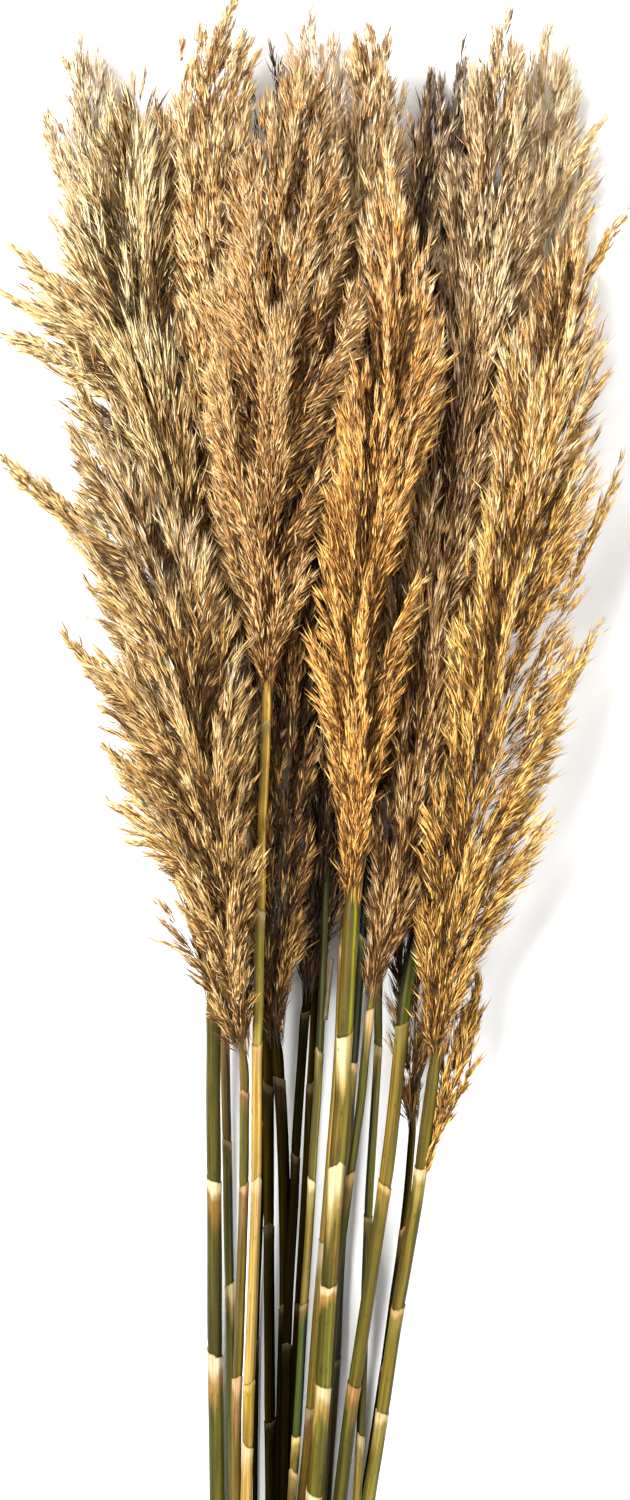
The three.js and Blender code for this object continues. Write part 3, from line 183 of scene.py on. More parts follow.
PLUMES = {
    "a": [[-61.6, 297.1, 44.0, 4.3, 4.3], [-62.7, 323.3, 48.3, 8.4, 12.0], [-65.5, 389.9, 57.5, 15.6, 20.0], [-72.6, 480.0, 63.1, 24.0, 22.0], [-80.9, 551.8, 66.0, 32.3, 23.0], [-90.5, 611.7, 66.0, 37.1, 24.0], [-100.0, 659.7, 66.0, 43.1, 25.0], [-107.2, 707.6, 66.0, 44.3, 25.0], [-110.2, 749.5, 66.0, 38.3, 23.0], [-109.0, 785.5, 66.0, 28.8, 19.0], [-104.8, 815.4, 66.0, 16.8, 12.0], [-100.0, 839.4, 66.0, 2.4, 2.0]],
    "b": [[-55.9, 306.4, 16.0, 3.0, 2.9], [-56.8, 327.9, 17.3, 6.7, 10.0], [-61.6, 389.0, 20.6, 12.2, 17.0], [-75.0, 492.7, 22.8, 18.3, 22.0], [-94.4, 614.5, 24.0, 21.9, 23.0], [-115.1, 724.1, 24.0, 21.9, 23.0], [-128.5, 785.0, 24.0, 20.7, 20.0], [-135.2, 827.7, 24.0, 15.8, 15.0], [-139.5, 858.1, 24.0, 8.5, 9.0], [-141.9, 880.0, 24.0, 1.8, 2.0]],
    "c": [[-43.0, 265.5, 66.0, 3.1, 3.1], [-44.9, 278.9, 69.6, 6.6, 8.0], [-48.9, 300.9, 77.1, 13.7, 14.0], [-53.5, 331.2, 87.4, 19.0, 18.0], [-56.8, 361.2, 96.4, 23.7, 21.0], [-61.3, 391.0, 104.6, 27.1, 22.0], [-66.5, 420.6, 110.8, 31.8, 22.0], [-72.3, 455.9, 112.0, 34.1, 22.0], [-78.8, 491.2, 112.0, 34.1, 22.0], [-87.0, 526.4, 112.0, 31.8, 21.0], [-97.6, 561.7, 112.0, 27.0, 19.0], [-110.0, 591.1, 112.0, 20.0, 15.0], [-124.1, 615.8, 112.0, 9.4, 8.0], [-133.5, 632.3, 112.0, 1.8, 2.0]],
    "d": [[-28.4, 484.3, 98.0, 3.2, 3.2], [-27.8, 498.4, 100.3, 6.5, 8.0], [-26.6, 517.3, 103.4, 13.0, 14.0], [-26.5, 538.4, 106.3, 19.4, 18.0], [-27.1, 567.7, 109.0, 24.1, 21.0], [-27.6, 597.0, 111.2, 29.4, 23.0], [-26.4, 626.3, 113.3, 34.7, 24.0], [-23.5, 655.6, 114.0, 38.2, 24.0], [-20.6, 685.0, 114.0, 40.5, 24.0], [-18.2, 714.4, 114.0, 38.8, 24.0], [-15.9, 743.8, 114.0, 35.3, 23.0], [-13.5, 773.1, 114.0, 29.4, 21.0], [-11.2, 802.5, 114.0, 22.3, 17.0], [-8.8, 826.0, 114.0, 12.9, 11.0], [-6.5, 846.6, 114.0, 1.8, 2.0]],
    "e": [[-31.4, 306.4, 16.0, 1.6, 1.6], [-31.2, 321.7, 17.0, 5.5, 8.0], [-32.3, 382.9, 20.6, 11.0, 15.0], [-32.3, 480.5, 22.7, 14.6, 20.0], [-29.8, 602.3, 24.0, 17.1, 22.0], [-27.4, 705.8, 24.0, 17.1, 22.0], [-25.6, 785.0, 24.0, 14.6, 18.0], [-26.2, 827.7, 24.0, 11.0, 13.0], [-27.4, 853.2, 24.0, 5.5, 7.0], [-28.6, 872.7, 24.0, 1.5, 2.0]],
    "f": [[-28.6, 307.2, 30.0, 3.4, 3.4], [-29.1, 334.7, 33.9, 6.1, 9.0], [-32.0, 389.5, 42.9, 12.1, 16.0], [-37.9, 480.1, 54.4, 18.1, 20.0], [-45.0, 570.0, 62.0, 22.8, 22.0], [-52.2, 660.0, 62.0, 26.4, 23.0], [-58.2, 732.0, 62.0, 28.8, 23.0], [-62.4, 786.0, 62.0, 30.0, 22.0], [-64.2, 822.0, 62.0, 28.8, 20.0], [-61.8, 849.0, 62.0, 22.8, 15.0], [-55.8, 871.2, 62.0, 12.0, 9.0], [-47.4, 895.2, 62.0, 1.8, 2.0]],
    "g": [[-23.2, 271.3, 46.0, 3.7, 3.7], [-24.7, 284.7, 48.5, 7.2, 8.0], [-25.3, 311.6, 54.5, 10.8, 13.0], [-23.4, 341.9, 60.6, 13.8, 16.0], [-20.4, 372.1, 65.7, 16.2, 18.0], [-17.3, 408.1, 70.9, 17.3, 19.0], [-14.9, 456.0, 72.0, 17.9, 20.0], [-14.9, 509.8, 72.0, 17.3, 19.0], [-17.3, 563.5, 72.0, 14.3, 15.0], [-19.7, 599.4, 72.0, 6.0, 7.0], [-20.9, 617.3, 72.0, 1.8, 2.0]],
    "h": [[-4.8, 298.7, 40.0, 2.9, 2.9], [-3.6, 310.8, 40.0, 4.8, 8.0], [-0.6, 332.0, 40.4, 8.5, 12.0], [1.8, 350.2, 41.0, 12.7, 15.0], [3.0, 377.4, 42.2, 15.1, 17.0], [2.4, 413.7, 43.5, 16.3, 19.0], [0.0, 456.0, 44.0, 18.1, 20.0], [-3.0, 510.4, 44.0, 18.1, 20.0], [-4.8, 564.8, 44.0, 14.5, 16.0], [-6.0, 601.1, 44.0, 7.3, 8.0], [-6.6, 622.2, 44.0, 1.8, 2.0]],
    "i": [[0.9, 318.6, 16.0, 2.5, 2.4], [1.8, 346.2, 17.8, 5.5, 8.0], [3.7, 389.0, 20.2, 9.8, 13.0], [3.0, 456.1, 22.0, 14.6, 18.0], [1.2, 541.4, 23.6, 18.3, 20.0], [0.6, 632.7, 24.0, 20.7, 21.0], [1.8, 711.9, 24.0, 23.1, 21.0], [3.0, 772.8, 24.0, 24.4, 20.0], [3.7, 821.6, 24.0, 21.9, 18.0], [2.4, 852.0, 24.0, 14.6, 13.0], [-0.6, 889.8, 24.0, 1.8, 2.0]],
    "j": [[8.7, 425.9, 50.0, 2.6, 2.6], [10.2, 456.0, 51.5, 6.0, 8.0], [13.8, 504.1, 55.5, 12.0, 14.0], [17.4, 564.1, 60.8, 16.8, 18.0], [21.0, 629.9, 64.0, 19.2, 20.0], [24.6, 701.8, 64.0, 20.4, 21.0], [28.8, 767.7, 64.0, 19.8, 20.0], [32.4, 809.7, 64.0, 18.0, 18.0], [34.2, 839.7, 64.0, 15.6, 15.0], [33.6, 860.7, 64.0, 8.4, 9.0], [31.8, 878.7, 64.0, 1.5, 2.0]],
    "l": [[21.8, 356.8, 72.0, 4.9, 4.9], [22.7, 372.4, 74.5, 6.0, 8.0], [23.8, 393.4, 79.3, 10.1, 13.0], [25.0, 420.3, 86.4, 14.9, 17.0], [25.5, 450.0, 94.3, 19.0, 20.0], [26.0, 479.5, 101.8, 22.4, 22.0], [27.1, 508.9, 108.5, 24.7, 23.0], [28.8, 538.2, 113.2, 27.0, 24.0], [31.7, 567.5, 114.0, 28.8, 24.0], [34.7, 596.9, 114.0, 28.8, 24.0], [38.2, 626.3, 114.0, 28.2, 24.0], [42.3, 655.6, 114.0, 28.2, 23.0], [45.2, 685.0, 114.0, 27.0, 22.0], [46.4, 714.4, 114.0, 22.9, 20.0], [45.2, 743.8, 114.0, 17.0, 16.0], [42.9, 770.2, 114.0, 10.0, 10.0], [41.1, 793.7, 114.0, 1.8, 2.0]],
    "m": [[33.2, 389.1, 26.0, 2.7, 2.6], [37.1, 425.7, 28.5, 6.1, 9.0], [45.6, 492.6, 27.5, 13.4, 16.0], [55.4, 565.7, 24.3, 18.3, 20.0], [64.0, 632.7, 24.0, 20.7, 22.0], [71.3, 693.6, 24.0, 23.1, 22.0], [76.1, 748.5, 24.0, 23.1, 21.0], [79.8, 791.1, 24.0, 21.9, 19.0], [83.4, 827.7, 24.0, 17.1, 15.0], [86.5, 849.0, 24.0, 10.4, 10.0], [88.9, 869.1, 24.0, 1.8, 2.0]],
    "n": [[33.6, 295.8, 52.0, 2.8, 2.8], [36.1, 310.4, 54.6, 5.4, 8.0], [40.9, 329.8, 58.5, 9.0, 12.0], [46.8, 351.0, 62.2, 12.6, 15.0], [52.1, 375.1, 65.3, 16.2, 17.0], [55.7, 402.1, 67.9, 18.6, 19.0], [58.6, 432.1, 70.6, 19.7, 20.0], [61.5, 467.9, 73.5, 20.3, 21.0], [64.5, 515.7, 74.0, 20.3, 21.0], [67.5, 563.5, 74.0, 20.3, 20.0], [71.1, 617.2, 74.0, 18.5, 18.0], [74.0, 665.0, 74.0, 14.3, 14.0], [76.4, 700.8, 74.0, 6.0, 7.0], [77.6, 718.7, 74.0, 1.8, 2.0]],
    "o": [[39.0, 310.2, 30.0, 2.7, 2.7], [45.5, 359.0, 35.6, 6.7, 10.0], [56.1, 431.9, 47.7, 13.3, 17.0], [70.2, 516.0, 60.7, 19.2, 21.0], [83.3, 599.9, 64.0, 22.8, 23.0], [93.5, 665.8, 64.0, 25.8, 23.0], [100.7, 725.8, 64.0, 27.0, 23.0], [104.9, 773.7, 64.0, 26.4, 21.0], [108.5, 815.7, 64.0, 22.8, 18.0], [111.5, 845.7, 64.0, 14.4, 12.0], [115.1, 878.1, 64.0, 1.8, 2.0]],
    "p": [[66.3, 359.2, 40.0, 4.0, 4.0], [76.3, 395.5, 39.9, 7.3, 10.0], [86.7, 450.0, 35.8, 13.3, 16.0], [99.7, 516.9, 28.1, 19.5, 21.0], [112.1, 584.0, 24.1, 23.1, 23.0], [121.8, 651.0, 24.0, 25.6, 23.0], [129.1, 711.9, 24.0, 26.8, 23.0], [134.0, 760.7, 24.0, 25.6, 21.0], [137.1, 803.3, 24.0, 21.9, 18.0], [140.1, 839.8, 24.0, 14.6, 13.0], [143.8, 880.6, 24.0, 1.8, 2.0]],
    "r": [[71.7, 260.4, 62.0, 3.8, 3.8], [73.7, 276.2, 65.5, 7.8, 9.0], [77.1, 300.6, 71.8, 13.1, 15.0], [81.6, 330.8, 79.6, 19.7, 19.0], [86.8, 360.9, 86.0, 25.0, 21.0], [92.5, 390.7, 91.6, 27.3, 23.0], [98.2, 420.4, 96.9, 29.0, 24.0], [103.3, 450.0, 101.6, 30.7, 24.0], [108.0, 479.5, 104.0, 31.3, 24.0], [112.7, 509.0, 104.0, 30.7, 24.0], [118.0, 538.5, 104.0, 30.1, 24.0], [123.3, 568.0, 104.0, 28.9, 24.0], [128.6, 597.5, 104.0, 28.3, 23.0], [133.3, 627.0, 104.0, 27.1, 22.0], [138.0, 656.5, 104.0, 24.8, 21.0], [142.2, 686.0, 104.0, 21.2, 19.0], [146.3, 712.5, 104.0, 15.3, 15.0], [149.8, 733.2, 104.0, 8.8, 10.0], [152.8, 752.0, 104.0, 1.8, 2.0]],
    "s": [[59.3, 219.9, 26.0, 2.4, 2.3], [59.3, 237.2, 28.1, 5.5, 8.0], [59.6, 261.6, 29.5, 9.1, 12.0], [61.4, 291.9, 28.4, 11.6, 15.0], [64.5, 328.3, 26.3, 13.4, 17.0], [69.4, 370.9, 26.0, 15.8, 19.0], [74.9, 419.6, 26.0, 17.0, 20.0], [80.3, 468.3, 26.0, 15.8, 18.0], [85.2, 510.9, 26.0, 9.7, 11.0], [88.3, 535.2, 26.0, 1.8, 2.0]],
    "t": [[18.2, 340.8, 34.0, 2.8, 2.8], [22.4, 389.4, 37.9, 6.1, 9.0], [32.0, 480.2, 45.5, 13.3, 16.0], [40.4, 564.5, 50.0, 16.9, 19.0], [48.2, 642.9, 50.0, 19.3, 21.0], [56.1, 709.2, 50.0, 19.3, 20.0], [62.1, 763.5, 50.0, 16.9, 18.0], [65.7, 805.7, 50.0, 13.3, 14.0], [68.7, 844.9, 50.0, 1.8, 2.0]],
}

SPRAYS = {
    "a1": [[-122.4, 663.8, 74.0, 6.6, 5.3], [-143.2, 678.0, 75.5, 7.8, 6.2], [-161.0, 687.4, 77.0, 6.6, 5.3], [-174.6, 692.6, 78.5, 4.2, 3.4], [-184.7, 695.4, 80.0, 1.2, 1.0]],
    "a2": [[-138.0, 691.2, 62.0, 5.4, 4.3], [-157.8, 706.3, 61.3, 5.4, 4.3], [-171.1, 715.3, 60.7, 3.6, 2.9], [-181.9, 720.8, 60.0, 1.0, 0.8]],
    "a3": [[-129.5, 701.8, 76.0, 7.2, 5.8], [-149.6, 722.4, 78.0, 7.2, 5.8], [-163.8, 734.7, 80.0, 5.4, 4.3], [-175.0, 744.6, 82.0, 1.2, 1.0]],
    "b1": [[-140.7, 776.5, 24.0, 5.4, 4.3], [-151.0, 798.9, 24.7, 5.4, 4.3], [-156.5, 814.1, 25.3, 3.6, 2.9], [-161.3, 829.2, 26.0, 1.0, 0.8]],
    "c1": [[-97.3, 538.5, 104.0, 9.0, 7.2], [-121.0, 564.5, 102.4, 9.0, 7.2], [-143.5, 585.3, 100.8, 7.8, 6.2], [-161.4, 601.9, 99.2, 6.0, 4.8], [-175.1, 614.4, 97.6, 3.6, 2.9], [-184.1, 622.2, 96.0, 1.0, 0.8]],
    "c2": [[-96.3, 457.1, 100.0, 7.2, 5.8], [-114.8, 479.0, 97.3, 7.2, 5.8], [-130.3, 497.4, 94.7, 5.4, 4.3], [-145.2, 514.0, 92.0, 1.2, 1.0]],
    "c3": [[-88.8, 418.6, 96.0, 7.2, 5.8], [-105.5, 434.0, 93.0, 6.0, 4.8], [-120.4, 447.6, 90.0, 1.2, 1.0]],
    "p1": [[144.0, 778.1, 30.0, 5.4, 4.3], [153.1, 798.6, 31.3, 4.8, 3.8], [161.5, 813.6, 32.7, 3.6, 2.9], [169.9, 825.6, 34.0, 1.0, 0.8]],
    "r1": [[152.4, 714.7, 100.0, 4.8, 3.8], [163.8, 736.1, 98.7, 3.6, 2.9], [172.1, 751.7, 97.3, 3.0, 2.4], [183.5, 767.2, 96.0, 0.8, 0.8]],
    "r2": [[143.3, 716.4, 84.0, 4.2, 3.4], [151.7, 739.7, 83.3, 3.6, 2.9], [157.7, 753.5, 82.7, 2.4, 1.9], [162.5, 766.1, 82.0, 0.8, 0.8]],
    "r4": [[151.9, 547.5, 100.0, 5.4, 4.3], [164.9, 580.1, 98.7, 4.2, 3.4], [173.3, 600.2, 97.3, 3.0, 2.4], [179.9, 616.9, 96.0, 0.8, 0.8]],
    "r5": [[136.0, 460.6, 98.0, 5.4, 4.3], [148.6, 485.5, 96.0, 4.8, 3.8], [157.0, 503.3, 94.0, 3.6, 2.9], [164.2, 519.4, 92.0, 1.0, 0.8]],
    "r6": [[68.7, 205.4, 52.0, 2.4, 1.9], [74.7, 226.0, 52.8, 6.0, 4.8], [81.9, 249.5, 53.6, 9.6, 7.7], [87.9, 270.7, 54.4, 9.0, 7.2], [93.9, 292.4, 55.2, 4.8, 3.8], [97.4, 306.9, 56.0, 1.2, 1.0]],
}
STALK_D_LO = (-46.932, -100.236, 13.580)     # low corner of stalk_d in the tables' own frame
_d_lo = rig.box("stalk_d")[0]
SHIFT = np.array([_d_lo[i] * 1000.0 - STALK_D_LO[i] for i in range(3)])


def srgb(c):
    out = []
    for v in c[:3]:
        v = v / 255.0
        out.append(v / 12.92 if v <= 0.04045 else ((v + 0.055) / 1.055) ** 2.4)
    return out


# ---------------------------------------------------------------------------
# Floor, light and camera
# ---------------------------------------------------------------------------
def mat_new(name):
    m = bpy.data.materials.new(name)
    m.use_nodes = True
    nt = m.node_tree
    for n in list(nt.nodes):
        nt.nodes.remove(n)
    out = nt.nodes.new("ShaderNodeOutputMaterial")
    bsdf = nt.nodes.new("ShaderNodeBsdfPrincipled")
    nt.links.new(bsdf.outputs["BSDF"], out.inputs["Surface"])
    return m, nt, bsdf, out


def make_floor():
    s = 12.0
    me = bpy.data.meshes.new("floor")
    me.from_pydata([(-s, -s, 0), (s, -s, 0), (s, s, 0), (-s, s, 0)], [], [(0, 1, 2, 3)])
    ob = bpy.data.objects.new("floor", me)
    bpy.context.scene.collection.objects.link(ob)
    m, nt, bsdf, out = mat_new("floor_paper")
    tc = nt.nodes.new("ShaderNodeTexCoord")
    nz = nt.nodes.new("ShaderNodeTexNoise")
    nz.inputs["Scale"].default_value = 3.0
    nz.inputs["Detail"].default_value = 2.0
    rp = nt.nodes.new("ShaderNodeValToRGB")
    rp.color_ramp.elements[0].color = (FLOOR_ALB * 0.985, FLOOR_ALB * 0.985, FLOOR_ALB * 0.985, 1)
    rp.color_ramp.elements[1].color = (FLOOR_ALB, FLOOR_ALB, FLOOR_ALB, 1)
    nt.links.new(tc.outputs["Object"], nz.inputs["Vector"])
    nt.links.new(nz.outputs["Fac"], rp.inputs["Fac"])
    nt.links.new(rp.outputs["Color"], bsdf.inputs["Base Color"])
    bsdf.inputs["Roughness"].default_value = 0.9
    bsdf.inputs["Specular IOR Level"].default_value = 0.2
    me.materials.append(m)
    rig.stage(ob)
    return ob


FLOOR_ALB = 0.93


def area(name, loc, target, size, power, color=(1, 1, 1)):
    ld = bpy.data.lights.new(name, "AREA")
    ld.shape = "RECTANGLE"
    ld.size, ld.size_y = size
    ld.energy = power
    ld.color = color
    ob = bpy.data.objects.new(name, ld)
    bpy.context.scene.collection.objects.link(ob)
    ob.location = loc
    from mathutils import Vector
    d = Vector(target) - Vector(loc)
    ob.rotation_euler = d.to_track_quat("-Z", "Y").to_euler()
    return ob


make_floor()
world = bpy.data.worlds.new("studio")
bpy.context.scene.world = world
world.use_nodes = True
world.node_tree.nodes["Background"].inputs["Color"].default_value = (1.0, 0.99, 0.975, 1)
world.node_tree.nodes["Background"].inputs["Strength"].default_value = 0.44
area("key", (-1.15, 0.6, 2.55), (0, 0.03, 0.05), (1.2, 1.4), 186.0, (1.0, 0.99, 0.97))
area("fill", (1.5, -0.5, 2.3), (0, 0, 0.05), (1.8, 1.8), 44.0, (0.98, 0.99, 1.0))

# colours are read straight, so that the straw tones stay as they are
bpy.context.scene.view_settings.view_transform = "Standard"

cam_data = bpy.data.cameras.new("camera")
cam = bpy.data.objects.new("camera", cam_data)
bpy.context.scene.collection.objects.link(cam)
cam_data.sensor_width = 36.0
cam_data.sensor_fit = "AUTO"
cam_data.lens = 100.0
cam_data.clip_end = 50.0
cam_data.dof.use_dof = False
# the frame is 0.9 m high at the height of the stalks' tops and runs off the bundle's lower end
CAM_Z_REF = 0.062
cam.location = (SHIFT[0] / 1000.0, (450.0 + SHIFT[1]) / 1000.0, CAM_Z_REF + 2.5)
cam.rotation_euler = (0.0, 0.0, 0.0)
bpy.context.scene.camera = cam


CAD_TOP = cad_hi[2]


# ---------------------------------------------------------------------------
# Mesh helper
# ---------------------------------------------------------------------------
def mesh_object(name, verts, faces_flat, loops_per_face, uvs=None, colors=None, smooth=True):
    """verts (V,3) in mm in the tables' frame; faces_flat: vertex index of every loop."""
    me = bpy.data.meshes.new(name)
    v = (verts + SHIFT) / 1000.0
    # fibres that would poke out above the bundle or into the surface bend along it instead
    top = CAD_TOP
    v[:, 2] = np.where(v[:, 2] > top, top + (v[:, 2] - top) * 0.4, v[:, 2])
    v[:, 2] = np.where(v[:, 2] < 0.002, 0.0004 + 0.0016 * np.exp((v[:, 2] - 0.002) / 0.004), v[:, 2])
    nv, nl = len(v), len(faces_flat)
    nf = nl // loops_per_face
    me.vertices.add(nv)
    me.vertices.foreach_set("co", v.astype(np.float32).ravel())
    me.loops.add(nl)
    me.loops.foreach_set("vertex_index", np.asarray(faces_flat, dtype=np.int32).ravel())
    me.polygons.add(nf)
    me.polygons.foreach_set("loop_start", (np.arange(nf) * loops_per_face).astype(np.int32))
    me.polygons.foreach_set("use_smooth", np.full(nf, smooth, dtype=bool))
    if uvs is not None:
        uv = me.uv_layers.new(name="OFBake")
        uv.data.foreach_set("uv", np.asarray(uvs, dtype=np.float32).ravel())
    if colors is not None:
        ca = me.color_attributes.new("tint", "FLOAT_COLOR", "POINT")
        ca.data.foreach_set("color", np.asarray(colors, dtype=np.float32).ravel())
    me.update()
    me.validate(verbose=False)
    ob = bpy.data.objects.new(name, me)
    bpy.context.scene.collection.objects.link(ob)
    return ob


# ---------------------------------------------------------------------------
# Plumes
# ---------------------------------------------------------------------------
def densify(st, n=240):
    """Smooth stations [x, y, z, w, d] -> n samples by arc length (Catmull-Rom)."""
    st = np.asarray(st, float)
    seg = np.linalg.norm(np.diff(st[:, :3], axis=0), axis=1)
    s = np.concatenate([[0], np.cumsum(seg)])
    L = s[-1]
    t = np.linspace(0, L, n)
    out = np.empty((n, 5))
    m = np.empty_like(st)
    m[1:-1] = (st[2:] - st[:-2]) / (s[2:] - s[:-2])[:, None]
    m[0] = (st[1] - st[0]) / (s[1] - s[0])
    m[-1] = (st[-1] - st[-2]) / (s[-1] - s[-2])
    k = np.clip(np.searchsorted(s, t, side="right") - 1, 0, len(s) - 2)
    h = (s[k + 1] - s[k])
    u = ((t - s[k]) / h)[:, None]
    h = h[:, None]
    out = ((2 * u ** 3 - 3 * u ** 2 + 1) * st[k] + (u ** 3 - 2 * u ** 2 + u) * h * m[k]
           + (-2 * u ** 3 + 3 * u ** 2) * st[k + 1] + (u ** 3 - u ** 2) * h * m[k + 1])
    out[:, 3:] = np.maximum(out[:, 3:], 0.6)
    return out, L


class Envelope:
    def __init__(self, stations):
        self.t, self.L = densify(stations)
        self.n = len(self.t)
        tan = np.gradient(self.t[:, :3], axis=0)
        tan /= np.linalg.norm(tan, axis=1)[:, None]
        side = np.stack([tan[:, 1], -tan[:, 0], np.zeros(self.n)], 1)
        side /= np.linalg.norm(side, axis=1)[:, None]
        up = np.cross(side, tan)
        self.tan, self.side, self.up = tan, side, up

    def at(self, arr, s):
        x = np.clip(s, 0, 1) * (self.n - 1)
        i = np.clip(x.astype(int), 0, self.n - 2)
        f = (x - i)[..., None]
        return arr[i] * (1 - f) + arr[i + 1] * f

    def point(self, s, rho, phi):
        c = self.at(self.t, s)
        over = np.maximum(s - 1.0, 0)[..., None] * self.L
        sd, up, tn = self.at(self.side, s), self.at(self.up, s), self.at(self.tan, s)
        w, d = c[..., 3:4], c[..., 4:5]
        r = rho[..., None]
        return (c[..., :3] + sd * (w * r * np.cos(phi)[..., None]) + up * (d * r * np.sin(phi)[..., None])
                + tn * over)


def unit(v):
    return v / np.maximum(np.linalg.norm(v, axis=-1, keepdims=True), 1e-9)


def perp_random(rng, d):
    r = rng.normal(size=d.shape)
    r -= d * np.sum(r * d, axis=-1, keepdims=True)
    return unit(r)


class Strands:
    """Collects closed spindles (fibres, twigs) and slimmer four-faced hairs."""

    def __init__(self):
        self.parts = []
        self.thin = []

    def add(self, p, d, length, width, tone, bend=None, mid=0.4, thin=False):
        n = len(p)
        if bend is None:
            bend = np.zeros((n, 3))
        (self.thin if thin else self.parts).append(
            (p, unit(d), np.broadcast_to(length, n), np.broadcast_to(width, n),
             np.broadcast_to(tone, n), bend, np.broadcast_to(mid, n)))

    @staticmethod
    def _join(parts):
        return [np.concatenate([a[i] for a in parts]) for i in range(7)]

    def build(self, name, rng):
        p, d, ln, wd, tone, bend, mid = self._join(self.parts)
        zone = (tone > 5.0) * 1.0
        tone = np.clip(tone - 10.0 * zone, 0.01, 0.99)
        n = len(p)
        e1 = perp_random(rng, d)
        e2 = np.cross(d, e1)
        q = p + d * (ln * mid)[:, None] - bend * 0.3
        v = np.empty((n, 5, 3))
        v[:, 0] = p
        for k in range(3):
            a = 2 * math.pi * k / 3
            v[:, 1 + k] = q + (e1 * math.cos(a) + e2 * math.sin(a)) * (wd * 0.5)[:, None]
        v[:, 4] = p + d * ln[:, None] + bend
        f = np.array([[0, 2, 1], [0, 3, 2], [0, 1, 3], [1, 2, 4], [2, 3, 4], [3, 1, 4]])
        faces = ((np.arange(n) * 5)[:, None, None] + f[None]).reshape(-1)
        uvv = np.empty((n, 5, 2))
        uvv[:, :, 0] = np.clip(tone[:, None] + np.array([0.0, -0.004, 0.004, 0.0, 0.0])[None], 0.002, 0.998)
        uvv[:, :, 1] = 0.5 * zone[:, None] + 0.5 * np.array([0.04, 0.42, 0.42, 0.46, 0.95])[None]
        uvs = uvv[:, f.ravel()].reshape(-1, 2)
        verts = v.reshape(-1, 3)
        if self.thin:
            p, d, ln, wd, tone, bend, mid = self._join(self.thin)
            zone = (tone > 5.0) * 1.0
            tone = np.clip(tone - 10.0 * zone, 0.01, 0.99)
            m = len(p)
            e1 = perp_random(rng, d)
            e2 = np.cross(d, e1)
            q = p + d * (ln * 0.3)[:, None] - bend * 0.25
            v = np.empty((m, 4, 3))
            v[:, 0] = p
            v[:, 1] = q + e1 * (wd * 0.5)[:, None] + e2 * (wd * 0.2)[:, None]
            v[:, 2] = q - e1 * (wd * 0.5)[:, None] + e2 * (wd * 0.2)[:, None]
            v[:, 3] = p + d * ln[:, None] + bend
            f = np.array([[0, 1, 2], [1, 3, 2], [0, 3, 1], [0, 2, 3]])
            faces = np.concatenate([faces, ((np.arange(m) * 4)[:, None, None] + f[None]).reshape(-1) + n * 5])
            uvv = np.empty((m, 4, 2))
            uvv[:, :, 0] = np.clip(tone[:, None] + np.array([0.0, -0.004, 0.004, 0.0])[None], 0.002, 0.998)
            uvv[:, :, 1] = 0.5 * zone[:, None] + 0.5 * np.array([0.05, 0.40, 0.44, 0.95])[None]
            uvs = np.concatenate([uvs, uvv[:, f.ravel()].reshape(-1, 2)])
            verts = np.concatenate([verts, v.reshape(-1, 3)])
        return mesh_object(name, verts, faces, 3, uvs=uvs)


def add_locks(S, org, axis, length, count, tone, rng, spec, wide, bend_axis=None):
    """Locks: small feathers of fibres that leave a common axis and point along it."""
    idx = np.repeat(np.arange(len(org)), count)
    N = len(idx)
    if N == 0:
        return
    if bend_axis is None:
        bend_axis = np.zeros_like(org)
    zone = (tone > 5.0) * 10.0
    tone = tone - zone
    u = 0.80 * rng.uniform(0, 1, N) ** 1.15
    L = length[idx]
    bv = bend_axis[idx] * L[:, None]
    pos = org[idx] + axis[idx] * (L * u)[:, None] + bv * (u ** 2)[:, None]
    adir = unit(axis[idx] + 2 * bend_axis[idx] * u[:, None])
    pr = perp_random(rng, adir)
    ang = (np.abs(rng.normal(0, math.radians(spec.get("spread", 9.0)), N)) + math.radians(1.5)) * (1.1 - 0.45 * u)
    d = unit(adir + pr * np.tan(ang)[:, None])
    ln = rng.uniform(*spec.get("len", (10.0, 18.0)), N) * (1.0 - 0.30 * u)
    w = rng.uniform(*spec.get("wid", (0.62, 1.05)), N) * wide * (1 - 0.2 * u)
    tn = tone[idx] + spec.get("tip_tone", 0.34) * (u - 0.35) + rng.normal(0, spec.get("tone_sd", 0.20), N)
    # a few fibres are weathered dark
    tn = np.where(rng.uniform(size=N) < spec.get("weathered", 0.12), tn - 0.34, tn)
    tn = tn + zone[idx]
    bend = -pr * (ln * rng.uniform(-0.02, 0.13, N))[:, None]
    S.add(pos + pr * rng.uniform(0.05, 0.55, N)[:, None], d, ln, w, tn, bend, mid=rng.uniform(0.24, 0.42, N))
    # silky hairs fringe the lock
    nh = int(N * spec.get("hair", 0.25))
    if nh:
        hi = idx[rng.integers(0, N, nh)]
        hu = rng.uniform(0.05, 0.95, nh)
        hL = length[hi]
        hb = bend_axis[hi] * hL[:, None]
        hp = org[hi] + axis[hi] * (hL * hu)[:, None] + hb * (hu ** 2)[:, None]
        ha = unit(axis[hi] + 2 * bend_axis[hi] * hu[:, None])
        hr = perp_random(rng, ha)
        hang = np.abs(rng.normal(math.radians(spec.get("hair_angle", 16.0)), math.radians(8), nh))
        hd = unit(ha + hr * np.tan(hang)[:, None])
        hl = rng.uniform(*spec.get("hair_len", (8.0, 15.0)), nh)
        S.add(hp + hr * rng.uniform(0, 0.8, nh)[:, None], hd, hl, rng.uniform(0.26, 0.42, nh) * wide,
              tone[hi] * 0.3 + spec.get("hair_tone", 0.62) + rng.normal(0, 0.09, nh) + zone[hi],
              -hr * (hl * rng.uniform(0.0, 0.22, nh))[:, None], thin=True)


